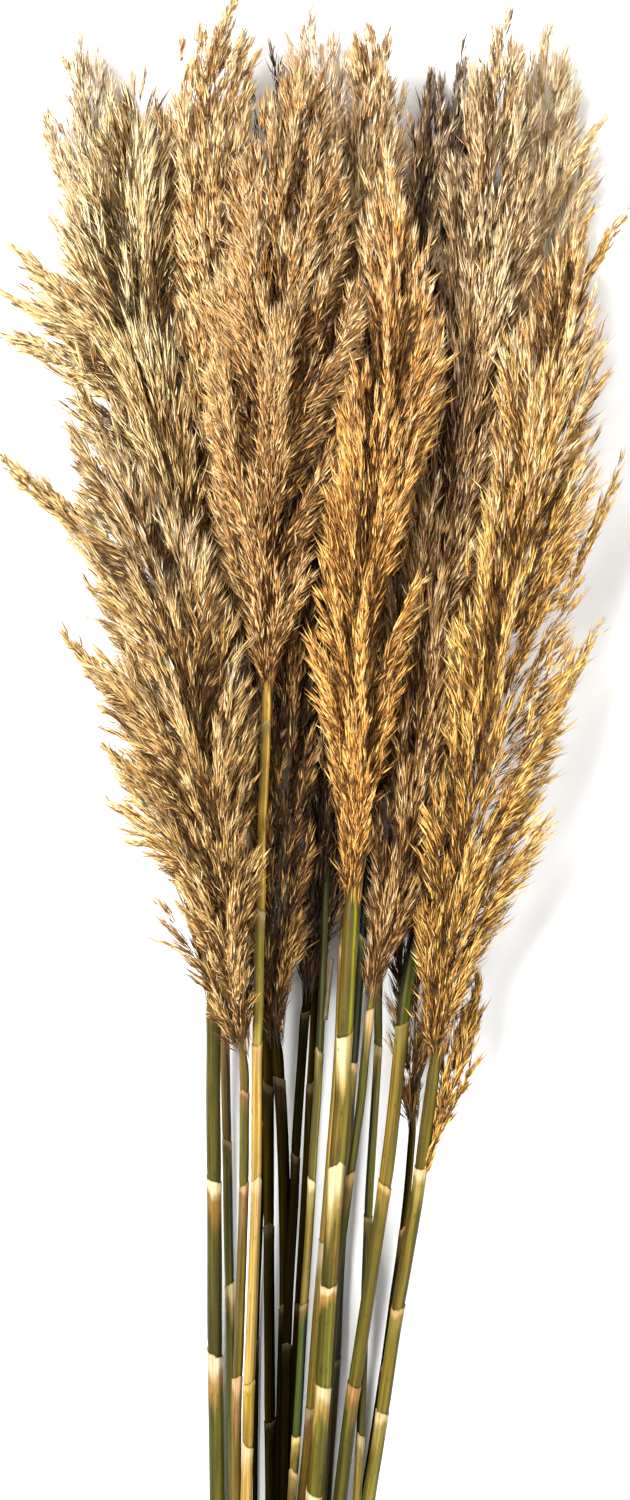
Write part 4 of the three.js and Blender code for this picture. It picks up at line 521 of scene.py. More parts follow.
def grow_plume(name, stations, sprays, rng, spec):
    """One feathery panicle filling the envelope `stations`."""
    env = Envelope(stations)
    S = Strands()
    dens = spec.get("n", 12000) * (0.35 if QUICK else 1.0)
    wide = 1.6 if QUICK else 1.0
    nb = int(spec.get("branches", 90))
    # where the branches end along the plume: more of them where the plume is wide
    grow = np.clip((np.linspace(0, 1, env.n) - 0.84) / 0.12, 0, 1)
    env.t[:, 3] += 2.6 * grow
    env.t[:, 4] += 2.6 * grow
    ss = np.linspace(0.04, 1.0, 200)
    wts = env.at(env.t, ss)[:, 3] ** 0.8 + 4.0 + 9.0 * np.clip((ss - 0.78) / 0.1, 0, 1)
    wts = wts * (1 + spec.get("top", 0.0) * np.clip((ss - 0.45) / 0.2, 0, 1))
    cdf = np.cumsum(wts)
    cdf /= cdf[-1]
    # tassels: groups of branches that hang together, with gaps between the groups
    nt_ = max(int(nb / spec.get("group", 4.2)), 8)
    ts1 = np.interp((np.arange(nt_) + rng.uniform(0, 1, nt_)) / nt_, cdf, ss)
    golden = np.cumsum(np.full(nt_, 2.39996)) + rng.normal(0, 0.35, nt_)
    flip = (rng.uniform(size=nt_) < spec.get("up", 0.35)) & (np.sin(golden) < 0)
    golden = np.where(flip, -golden, golden)
    trend = rng.uniform(0.80, 1.02, nt_)
    trend = np.where(rng.uniform(size=nt_) < spec.get("proud", 0.16), trend * rng.uniform(1.04, 1.2, nt_), trend)
    ttone = rng.normal(0, spec.get("tassel_tone", 0.06), nt_)
    ti = rng.integers(0, nt_, nb)
    ti[:nt_] = np.arange(nt_)
    s1 = np.clip(ts1[ti] + rng.normal(0, 0.022, nb) - 0.02 * rng.uniform(0, 1, nb), 0.035, 1.0)
    phi = golden[ti] + rng.normal(0, 0.17, nb)
    rend = trend[ti] * rng.uniform(0.86, 1.03, nb)
    core = rng.uniform(size=nb) < 0.20
    core[:nt_] = False
    phi = np.where(core, rng.uniform(0, 2 * math.pi, nb), phi)
    rend = np.where(core, rng.uniform(0.15, 0.6, nb), rend)
    dl = rng.uniform(0.13, 0.26, nb) * spec.get("reach", 1.0) * (1 - 0.35 * np.clip((s1 - 0.8) / 0.1, 0, 1))
    dl = dl * (1 - spec.get("side_reach", 0.0) * np.clip(-np.cos(phi), 0, 1))
    s0 = np.maximum(s1 - dl, 0.0)
    rend = rend * (0.45 + 0.55 * np.clip(s1 / 0.16, 0, 1))
    rend = np.where(s1 > 0.85, rend * rng.uniform(0.35, 1.0, nb), rend)
    dphi = rng.normal(0, 0.10, nb)
    btone = ttone[ti] + rng.normal(0, spec.get("branch_tone", 0.05), nb)
    blen = (s1 - s0) * env.L

    # branches of a plume that hangs to one side cross its axis on the way up
    lean = np.asarray(spec.get("lean", (0.0, 0.0, 0.0)), float)
    way = math.copysign(1.0, lean[0])
    lean_w = (np.clip(0.7 + 0.7 * way * np.cos(phi), 0, 1) * np.clip((s1 - 0.05) / 0.25, 0, 1)
              * (1 - 0.65 * np.clip((s1 - 0.68) / 0.25, 0, 1)))

    def path(bi, t):
        r0 = 0.06 * rend[bi]
        rho = r0 + (rend[bi] - r0) * t ** 0.75
        p = env.point(s0[bi] + (s1[bi] - s0[bi]) * t, rho, phi[bi] + dphi[bi] * t)
        return p + lean[None] * (lean_w[bi] * blen[bi] * (t - 0.58))[:, None]

    def along(bi, t):
        t1 = np.minimum(t + 0.03, 1.0)
        return unit(path(bi, t1) - path(bi, t1 - 0.06))

    # locks along every branch, the last one at its very tip
    step = spec.get("lock_step", 7.0)
    nl = np.maximum((blen / step).astype(int), 3)
    bi = np.repeat(np.arange(nb), nl)
    start = np.concatenate([[0], np.cumsum(nl)[:-1]])
    rank = np.arange(len(bi)) - start[bi]
    t = 0.10 + 0.90 * (rank + rng.uniform(0.15, 0.85, len(bi))) / nl[bi]
    last = rank == nl[bi] - 1
    t = np.where(last, 1.0, np.clip(t, 0.05, 0.98))
    M = len(bi)
    org = path(bi, t)
    tg = along(bi, t)
    c = env.at(env.t, s0[bi] + (s1[bi] - s0[bi]) * t)[:, :3]
    outw = org - c
    outw = unit(outw - tg * np.sum(outw * tg, 1, keepdims=True))
    rho_l = rend[bi] * t ** 0.75
    tilt = np.radians(rng.normal(spec.get("tilt", 9.0), 6.0, M))
    sway = perp_random(rng, tg)
    axis = unit(tg + outw * np.tan(tilt)[:, None] + sway * rng.uniform(0, spec.get("sway", 0.20), M)[:, None])
    axis = np.where(last[:, None], unit(tg + sway * 0.08), axis)
    axis = unit(axis + 0.4 * lean[None] * (lean_w[bi] * np.clip(rho_l, 0, 1))[:, None])
    L = rng.uniform(*spec.get("lock_len", (12.0, 22.0)), M)
    # keep the locks within the plume's own outline near its tip
    sl = s0[bi] + (s1[bi] - s0[bi]) * t
    L = L * (1 - 0.30 * np.clip((sl - 0.8) / 0.2, 0, 1))
    # painted shade: locks nearer the plume's axis are darker, partly their own browner colour, partly painted shade
    lt = (spec.get("tone", 0.5) + btone[bi] + rng.normal(0, spec.get("lock_tone", 0.09), M)
          - spec.get("deep", 0.75) * np.clip(0.78 - rho_l, 0, 1))
    # painted shade: the under side of the plume is a little darker
    lt = lt - 0.05 * (np.sin(phi[bi]) < -0.3)
    if "tone_along" in spec:
        xs, ys = zip(*spec["tone_along"])
        lt = lt + np.interp(sl, xs, ys)
    zrng = np.random.default_rng(77)
    lt = lt + 10.0 * (zrng.uniform(size=M) < np.clip((sl - 0.45) / 0.45, 0, 0.95))
    wl = L * (0.6 + 0.5 * np.clip(rho_l, 0, 1))
    cnt = np.maximum((dens * wl / wl.sum()).astype(int), 4)
    ba = (outw * rng.uniform(-0.02, 0.16, M)[:, None] + perp_random(rng, axis) * rng.uniform(0, 0.06, M)[:, None])
    add_locks(S, org, axis, L, cnt, lt, rng, spec, wide, ba)

    # short locks fill the body under the tassels
    nbo = int(spec.get("body", 70))
    if nbo:
        brng = np.random.default_rng(4000 + len(name) + ord(name[6]))
        bs_ = brng.uniform(0.05, 0.70, nbo)
        brr = np.sqrt(brng.uniform(0.08, 0.72, nbo))
        bf_ = brng.uniform(0, 2 * math.pi, nbo)
        bo_ = env.point(bs_, brr, bf_)
        bt_ = env.at(env.tan, bs_)
        bc_ = bo_ - env.at(env.t, bs_)[:, :3]
        bc_ = unit(bc_ - bt_ * np.sum(bc_ * bt_, 1, keepdims=True))
        bax = unit(bt_ + bc_ * np.tan(np.radians(10.0) * brr)[:, None] + perp_random(brng, bt_) * 0.08
                   + 0.6 * lean[None] * np.clip((bs_ - 0.05) / 0.25, 0, 1)[:, None])
        # painted shade: body locks darken towards the plume's axis, partly their own browner colour
        btn = spec.get("tone", 0.5) - 0.8 * (0.9 - brr) + brng.normal(0, 0.08, nbo)
        if "tone_along" in spec:
            btn = btn + np.interp(bs_, *zip(*spec["tone_along"]))
        add_locks(S, bo_, bax, brng.uniform(16.0, 28.0, nbo), np.full(nbo, 4 if QUICK else 12), btn, brng,
                  dict(spec, hair=0.2), wide, None)

    # the head: near its tip the plume is a full, soft brush of locks
    nh_ = int(spec.get("head", 0))
    if nh_:
        hs = 1.0 - spec.get("head_len", 0.40) * rng.uniform(0, 1, nh_) ** 0.85
        hr = np.sqrt(rng.uniform(0.03, 1.0, nh_)) * 0.98
        hf = rng.uniform(0, 2 * math.pi, nh_)
        ho = env.point(hs - 0.03, hr, hf)
        ht = env.at(env.tan, hs)
        hc = ho - env.at(env.t, hs - 0.03)[:, :3]
        hc = unit(hc - ht * np.sum(hc * ht, 1, keepdims=True))
        fan = np.tan(np.radians(13.0) * hr)
        ha = unit(ht + hc * fan[:, None] + perp_random(rng, ht) * rng.uniform(0, 0.17, nh_)[:, None])
        hl = rng.uniform(15.0, 27.0, nh_) * (1 - 0.40 * np.clip((hs - 0.85) / 0.15, 0, 1))
        if "tone_along" in spec:
            htone_along = np.interp(hs, *zip(*spec["tone_along"]))
        else:
            htone_along = 0.0
        hn = np.full(nh_, max(int(15 * (0.35 if QUICK else 1.0)), 4))
        # painted shade: head locks darken towards the axis and on the under side
        htone = (spec.get("tone", 0.5) + htone_along + rng.normal(0, 0.09, nh_) - 0.55 * spec.get("deep", 0.75) * np.clip(0.7 - hr, 0, 1)
                 - 0.05 * (np.sin(hf) < -0.3))
        htone = htone + 10.0 * (zrng.uniform(size=nh_) < np.clip((hs - 0.45) / 0.45, 0, 0.95))
        add_locks(S, ho, ha, hl, hn, htone, rng, dict(spec, spread=7.5), wide,
                  perp_random(rng, ha) * rng.uniform(0, 0.10, nh_)[:, None])

    # branch twigs and the main stem of the panicle
    tw_t = np.linspace(0.0, 0.96, 7)
    bb = np.repeat(np.arange(nb), len(tw_t) - 1)
    ta = np.tile(tw_t[:-1], nb)
    tb = np.tile(tw_t[1:], nb) + 0.02
    pa, pb = path(bb, ta), path(bb, tb)
    dd = pb - pa
    ll = np.linalg.norm(dd, axis=1)
    S.add(pa, dd, ll * 1.15, 0.8 - 0.35 * ta, spec.get("tone", 0.5) - 0.12, None, mid=0.5)
    rs = np.linspace(0.0, 0.93, 40)
    pr = env.at(env.t, rs)[:, :3]
    dr = pr[1:] - pr[:-1]
    lr_ = np.linalg.norm(dr, axis=1)
    S.add(pr[:-1], dr, lr_ * 1.6, np.linspace(2.8, 0.8, len(dr)) * spec.get("rachis", 1.0),
          spec.get("tone", 0.5) - 0.05, None, mid=0.5)

    # fibres that leave the sheath at the plume's foot and hug the stalk
    nf = 60
    fs = rng.uniform(-0.0, 0.05, nf)
    fa = rng.uniform(0, 2 * math.pi, nf)
    fp = env.point(fs, np.full(nf, 0.9), fa)
    fd = unit(env.at(env.tan, fs) + 0.10 * perp_random(rng, env.at(env.tan, fs)))
    S.add(fp - fd * 5.0, fd, rng.uniform(18, 34, nf), rng.uniform(0.5, 0.8, nf) * wide,
          spec.get("tone", 0.5) - 0.06 + rng.normal(0, 0.12, nf), None, mid=0.5)

    # side branches that stand clear
    for sp_st in sprays:
        sub = spec
        if sp_st[0][1] < 300:                       # the low tassel on stalk r
            sub = dict(spec, spray_n=32, fat=2.0, tone=0.24, tip_tone=0.45)
        elif sp_st[0][0] < -80 and sp_st[0][3] > 4.5:
            sub = dict(spec, spray_n=15, fat=2.0, tone=spec.get("tone", 0.5) - 0.16)
        grow_spray(S, sp_st, rng, sub, wide)
    ob = S.build(name, rng)
    ob.data.materials.append(plume_material(name.replace("_fibres", "_fibre_stuff"), PALETTES[spec["mat"]],
                                            gain=PLUME_GAIN.get(name.split("_")[1], (1, 1, 1)),
                                            pale=PLUME_PALE.get(name.split("_")[1], (1.0, 1.06, 1.32))))
    return ob


def grow_spray(S, stations, rng, spec, wide=1.0):
    st = np.asarray(stations, float)
    # root it inside the plume
    root = st[0].copy()
    root[:3] = st[0, :3] * 2.1 - st[1, :3] * 1.1
    root[3:] = st[0, 3:] * 0.6
    st = np.vstack([root, st])
    env = Envelope(st)
    if spec.get("fat"):
        nb = 16
        s1 = np.linspace(1.0, 0.34, nb)
        s0 = np.maximum(s1 - 0.34, 0.0)
        rend = np.r_[0.1, rng.uniform(0.55, 1.0, nb - 1)]
    else:
        nb = 5
        s0 = np.array([0.0, 0.05, 0.16, 0.28, 0.40])
        s1 = np.array([1.0, 0.90, 0.84, 0.74, 0.66])
        rend = np.array([0.08, 0.7, 0.75, 0.75, 0.8])
    phi = rng.uniform(0, 2 * math.pi) + np.arange(nb) * 2.4

    def path(bi, t):
        rho = rend[bi] * (0.1 + 0.9 * t ** 0.8)
        return env.point(s0[bi] + (s1[bi] - s0[bi]) * t, rho, phi[bi])

    nl = np.maximum(((s1 - s0) * env.L / 6.0).astype(int), 3)
    bi = np.repeat(np.arange(nb), nl)
    start = np.concatenate([[0], np.cumsum(nl)[:-1]])
    rank = np.arange(len(bi)) - start[bi]
    t = np.clip(0.12 + 0.88 * (rank + rng.uniform(0.2, 0.8, len(bi))) / nl[bi], 0, 1)
    t = np.where(rank == nl[bi] - 1, 1.0, t)
    org = path(bi, t)
    t1 = np.minimum(t + 0.04, 1.0)
    tg = unit(path(bi, t1) - path(bi, t1 - 0.08))
    axis = unit(tg + perp_random(rng, tg) * rng.uniform(0.05, 0.28, len(bi))[:, None])
    L = rng.uniform(8.0, 14.0, len(bi)) * (1 - 0.35 * t)
    cnt = np.full(len(bi), max(int(spec.get("spray_n", 17) * (0.5 if QUICK else 1)), 4))
    sub = dict(spec)
    sub["len"] = (7.0, 12.5)
    sub["wid"] = (0.5, 0.85)
    add_locks(S, org, axis, L, cnt, np.full(len(bi), spec.get("tone", 0.5)) + rng.normal(0, 0.07, len(bi)),
              rng, sub, wide)
    tw = np.linspace(0, 0.95, 7)
    bb = np.repeat(np.arange(nb), len(tw) - 1)
    ta, tb = np.tile(tw[:-1], nb), np.tile(tw[1:], nb)
    pa, pb = path(bb, ta), path(bb, tb)
    dd = pb - pa
    S.add(pa, dd, np.linalg.norm(dd, axis=1) * 1.15, 0.6, spec.get("tone", 0.5) - 0.12, None, mid=0.5)


def plume_material(name, stops, rough=0.6, sheen=0.06, gain=(1.0, 1.0, 1.0), pale=(1.0, 1.06, 1.32)):
    m, nt, bsdf, out = mat_new(name)

    def srgb(c, _f=globals()["srgb"]):
        v = [v * g for v, g in zip(_f(c), gain)]
        k = 0.90 / max(0.90, *v)
        return [w * k for w in v]

    uv = nt.nodes.new("ShaderNodeUVMap")
    uv.uv_map = "OFBake"
    sep = nt.nodes.new("ShaderNodeSeparateXYZ")
    nt.links.new(uv.outputs["UV"], sep.inputs[0])
    ramp = nt.nodes.new("ShaderNodeValToRGB")
    cr = ramp.color_ramp
    cr.interpolation = "LINEAR"
    while len(cr.elements) > 1:
        cr.elements.remove(cr.elements[-1])
    cr.elements[0].position = stops[0][0]
    cr.elements[0].color = (*srgb(stops[0][1]), 1)
    for pos, col in stops[1:]:
        e = cr.elements.new(pos)
        e.color = (*srgb(col), 1)
    nt.links.new(sep.outputs["X"], ramp.inputs["Fac"])
    # darker at the foot of each fibre, paler at its tip
    along = nt.nodes.new("ShaderNodeValToRGB")
    al = along.color_ramp
    al.elements[0].position = 0.0
    al.elements[0].color = (0.36, 0.28, 0.18, 1)
    al.elements[1].position = 0.225
    al.elements[1].color = (0.97, 0.96, 0.94, 1)
    # the upper half of the ramp is for the paler fibres towards the plume's tip
    for pos, c4 in ((0.495, (1.0, 1.0, 1.0, 1)), (0.505, (0.42 * pale[0], 0.35 * pale[1], 0.26 * pale[2], 1)),
                    (0.725, (0.96 * pale[0], 0.95 * pale[1], 0.94 * pale[2], 1)), (1.0, (*pale, 1))):
        e = al.elements.new(pos)
        e.color = c4
    nt.links.new(sep.outputs["Y"], along.inputs["Fac"])
    mul = nt.nodes.new("ShaderNodeMix")
    mul.data_type = "RGBA"
    mul.blend_type = "MULTIPLY"
    mul.inputs["Factor"].default_value = 1.0
    nt.links.new(ramp.outputs["Color"], mul.inputs["A"])
    nt.links.new(along.outputs["Color"], mul.inputs["B"])
    # faint fibre-to-fibre mottling, a function of the same two values
    nz = nt.nodes.new("ShaderNodeTexNoise")
    nz.inputs["Scale"].default_value = 38.0
    nz.inputs["Detail"].default_value = 1.0
    nt.links.new(uv.outputs["UV"], nz.inputs["Vector"])
    mr = nt.nodes.new("ShaderNodeMapRange")
    mr.inputs["From Min"].default_value = 0.3
    mr.inputs["From Max"].default_value = 0.7
    mr.inputs["To Min"].default_value = 0.90
    mr.inputs["To Max"].default_value = 1.08
    nt.links.new(nz.outputs["Fac"], mr.inputs["Value"])
    mul2 = nt.nodes.new("ShaderNodeVectorMath")
    mul2.operation = "SCALE"
    nt.links.new(mul.outputs["Result"], mul2.inputs[0])
    nt.links.new(mr.outputs["Result"], mul2.inputs["Scale"])
    nt.links.new(mul2.outputs["Vector"], bsdf.inputs["Base Color"])
    bsdf.inputs["Roughness"].default_value = rough
    bsdf.inputs["Specular IOR Level"].default_value = 0.22
    bsdf.inputs["Sheen Weight"].default_value = sheen
    bsdf.inputs["Sheen Roughness"].default_value = 0.4
    bsdf.inputs["Sheen Tint"].default_value = (1.0, 0.9, 0.72, 1)
    return m


PALETTES = {
    "straw": [(0.0, (80, 50, 14)), (0.28, (152, 110, 54)), (0.52, (208, 170, 104)), (0.76, (238, 208, 150)),
              (1.0, (252, 236, 198))],
    "pale": [(0.0, (70, 46, 14)), (0.28, (148, 110, 54)), (0.52, (210, 178, 112)),
                                                (0.74, (234, 210, 150)), (1.0, (244, 228, 180))],
    "gold": [(0.0, (72, 44, 16)), (0.28, (146, 98, 46)), (0.52, (212, 158, 82)),
                                                (0.76, (240, 196, 120)), (1.0, (253, 230, 174))],
    "tan": [(0.0, (80, 48, 18)), (0.28, (148, 102, 52)), (0.52, (202, 154, 92)),
                                              (0.76, (232, 196, 140)), (1.0, (250, 228, 188))],
    "fuzz": [(0.0, (76, 42, 12)), (0.28, (160, 104, 46)), (0.50, (212, 156, 88)),
                                                (0.70, (222, 184, 136)), (1.0, (244, 224, 194))],
    "grey": [(0.0, (64, 40, 18)), (0.28, (124, 92, 54)), (0.52, (174, 142, 98)),
                                                (0.76, (214, 186, 144)), (1.0, (244, 226, 194))],
    # painted shade: plumes e and h, far inside the bundle, take this near-black palette
    "dark": [(0.0, (28, 14, 5)), (0.28, (64, 40, 18)), (0.55, (108, 78, 44)),
                                                (0.8, (158, 124, 80)), (1.0, (204, 174, 128))],
}

# how each plume's own straw differs from its palette; some gains are painted light and shade: p and i are lifted where
# they lie in other plumes' shade, g is lowered far inside the bundle
PLUME_GAIN = {
    "a": (1.18, 1.15, 1.22),
    "b": (1.04, 1.12, 1.26),
    "c": (0.84, 0.79, 0.69),
    "d": (0.88, 0.84, 0.64),
    "e": (0.91, 0.91, 0.91),
    "f": (1.12, 1.03, 0.8),
    "g": (0.6, 0.6, 0.54),
    "h": (1.22, 1.28, 1.02),
    "i": (1.65, 1.62, 1.48),
    "j": (1.0, 0.97, 0.9),
    "l": (1.2, 1.13, 0.91),
    "m": (0.46, 0.42, 0.37),
    "n": (0.87, 0.87, 0.81),
    "o": (1.25, 1.1, 0.86),
    "p": (1.65, 1.55, 1.38),
    "r": (0.98, 0.955, 0.69),
    "s": (0.45, 0.42, 0.28),
    "t": (1.0, 0.94, 0.8),
}

# and how its fibres pale towards the tip
PLUME_PALE = {"l": (1.0, 1.07, 1.55), "r": (1.0, 1.05, 1.65), "b": (1.0, 1.03, 1.12), "j": (1.0, 1.03, 1.12), "d": (1.0, 1.05, 1.18),
              "a": (1.0, 1.04, 1.14), "f": (1.0, 1.08, 1.28), "o": (1.0, 1.10, 1.30), "p": (1.0, 1.04, 1.2)}

PLUME_SPECS = {
    "a": dict(mat="pale", n=20000, branches=150, top=0.9, spread=5.5, tone=0.6, len=(16, 28), lock_len=(20, 38),
              wid=(0.62, 1.05), proud=0.2, hair=0.35, tilt=14, deep=1.5, lean=(-0.42, 0, 0), side_reach=0.4, tone_sd=0.3,
              head=110, weathered=0.18,
              tone_along=[(0.06, -0.00), (0.19, 0.02), (0.31, 0.02), (0.44, 0.06), (0.56, 0.03), (0.69, -0.10), (0.81, 0.07), (0.94, 0.18)], body=150),
    "b": dict(mat="tan", n=8500, branches=95, tone=0.64, hair=1.1, hair_tone=0.72, top=1.2, head=150, deep=0.5, tone_along=[(0.06, -0.31), (0.19, -0.29), (0.31, -0.27), (0.44, -0.24), (0.56, -0.15), (0.69, -0.02), (0.81, 0.09), (0.94, 0.07)]),
    "c": dict(mat="straw", n=15500, branches=120, tone=0.55, hair=0.45, hair_angle=18, spread=6.5, len=(14, 25),
              lock_len=(15, 30), proud=0.22, tilt=15, deep=1.3, lean=(-0.26, 0, 0), side_reach=0.25, tone_sd=0.25, head=70,
              tone_along=[(0.06, -0.06), (0.19, -0.07), (0.31, -0.03), (0.44, 0.01), (0.56, 0.02), (0.69, 0.06), (0.81, 0.10), (0.94, 0.09)], weathered=0.15, body=110),
    "d": dict(mat="fuzz", n=12500, branches=120, tone=0.42, hair=1.2, hair_angle=22, hair_tone=0.66, spread=9,
              lock_len=(15, 28), proud=0.2, deep=0.8, tilt=14, head=150,
              tone_along=[(0.06, -0.10), (0.19, -0.10), (0.31, -0.08), (0.44, -0.04), (0.56, 0.01), (0.69, 0.04), (0.81, 0.07), (0.94, 0.12)]),
    "e": dict(mat="dark", n=4000, branches=55, tone=0.5, top=1.5, head=40),
    "f": dict(mat="tan", n=9000, branches=115, tone=0.62, hair=1.2, hair_tone=0.74, top=1.6, head=230, deep=0.45, tone_along=[(0.06, -0.25), (0.19, -0.27), (0.31, -0.32), (0.44, -0.35), (0.56, -0.30), (0.69, -0.19), (0.81, -0.15), (0.94, -0.04)]),
    # painted shade: plume g lies far inside the bundle; its low tone stands for the shade there
    "g": dict(mat="gold", n=7500, branches=75, tone=0.22, tone_sd=0.26, body=110),
    "h": dict(mat="dark", n=7000, branches=75, tone=0.32, tone_sd=0.26, body=110),
    # painted light: plume i lies in shade, and its high tone, pale hairs and small inner shade lift it
    "i": dict(mat="fuzz", n=8500, branches=95, tone=0.64, hair=1.3, hair_tone=0.8, top=1.6, head=200, deep=0.25, tone_along=[(0.06, -0.35), (0.19, -0.38), (0.31, -0.42), (0.44, -0.35), (0.56, -0.10), (0.69, 0.11), (0.81, 0.15), (0.94, 0.15)]),
    "j": dict(mat="tan", n=7500, branches=90, tone=0.56, hair=1.0, hair_tone=0.70, top=1.6, head=160, deep=0.5, tone_along=[(0.06, -0.36), (0.19, -0.37), (0.31, -0.38), (0.44, -0.37), (0.56, -0.20), (0.69, -0.03), (0.81, 0.01), (0.94, 0.00)]),
    "l": dict(mat="gold", n=17500, branches=140, tone=0.55, lock_step=6.0, lock_len=(11, 22), len=(9, 17), spread=7,
              deep=1.0, wid=(0.55, 0.95), tilt=13, tone_sd=0.21, head=70, tone_along=[(0.06, 0.02), (0.19, -0.01), (0.31, -0.02), (0.44, -0.04), (0.56, -0.06), (0.69, 0.06), (0.81, 0.20), (0.94, 0.25)]),
    "m": dict(mat="grey", n=7500, branches=85, tone=0.58, hair=1.1, hair_tone=0.66, top=1.2, head=130, deep=0.5, tone_along=[(0.06, -0.23), (0.19, -0.23), (0.31, -0.24), (0.44, -0.27), (0.56, -0.23), (0.69, -0.19), (0.81, -0.15), (0.94, -0.02)]),
    "n": dict(mat="tan", n=10000, branches=95, tone=0.48, len=(12, 21), deep=1.3, tone_sd=0.28,
              tone_along=[(0.06, 0.07), (0.19, -0.01), (0.31, -0.05), (0.44, -0.01), (0.56, 0.07), (0.69, 0.12), (0.81, 0.01), (0.94, -0.09)], weathered=0.18, body=120),
    "o": dict(mat="grey", n=10500, branches=105, tone=0.68, hair=1.1, hair_tone=0.72, lock_len=(14, 26), len=(12, 21),
              top=1.0, head=180, deep=0.8, tone_along=[(0.06, -0.35), (0.19, -0.32), (0.31, -0.29), (0.44, -0.30), (0.56, -0.28), (0.69, -0.19), (0.81, -0.11), (0.94, 0.02)], tone_sd=0.24),
    # painted light: plume p lies in the shade of plume o, and its high tone and small inner shade lift it
    "p": dict(mat="straw", n=10500, branches=115, tone=0.86, hair=0.5, lock_len=(14, 28), len=(13, 24), top=0.8,
              lean=(0.14, 0, 0), head=200, deep=0.15, tone_along=[(0.06, -0.29), (0.19, -0.30), (0.31, -0.34), (0.44, -0.42), (0.56, -0.31), (0.69, -0.09), (0.81, 0.05), (0.94, 0.11)], hair_tone=0.8),
    "r": dict(mat="gold", n=17500, branches=150, tone=0.64, lock_len=(12, 25), len=(10, 19), proud=0.2, lock_step=6.5,
              spread=6.5, spray_n=7, deep=1.3, wid=(0.55, 0.98), tilt=13, lean=(0.12, 0, 0), tone_sd=0.27, head=90, tone_along=[(0.06, -0.08), (0.19, -0.05), (0.31, 0.01), (0.44, 0.05), (0.56, 0.09), (0.69, 0.06), (0.81, 0.05), (0.94, 0.17)], weathered=0.17, body=190),
    "s": dict(mat="tan", n=6500, branches=70, tone=0.36),
    "t": dict(mat="grey", n=5000, branches=65, tone=0.52, top=0.6, head=30),
}

for i, key in enumerate(sorted(PLUMES)):
    rng = np.random.default_rng(1000 + i)
    spr = [v for k, v in sorted(SPRAYS.items()) if k[0] == key]
    ob = grow_plume("plume_" + key + "_fibres", PLUMES[key], spr, rng, PLUME_SPECS[key])
    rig.ride(ob, "root")
    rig.replaces(ob, "plume_" + key, *["spray_" + k for k in sorted(SPRAYS) if k[0] == key])

# ---------------------------------------------------------------------------
# Stalks: jointed culms wrapped in dry leaf sheaths. Each internode ends at the
# top in a slanted, ragged sheath lip with a pale band under it.
# segs: colours from the plume end down, one per internode:
#   (colour of the -X flank, of the crown, of the +X flank): own colour with painted light and shade across the stalk
# bands: one per node: (pale colour, pale length mm, warm colour, warm length mm)
# ---------------------------------------------------------------------------
STALK_TONE = np.array([0.43, 0.415, 0.22])
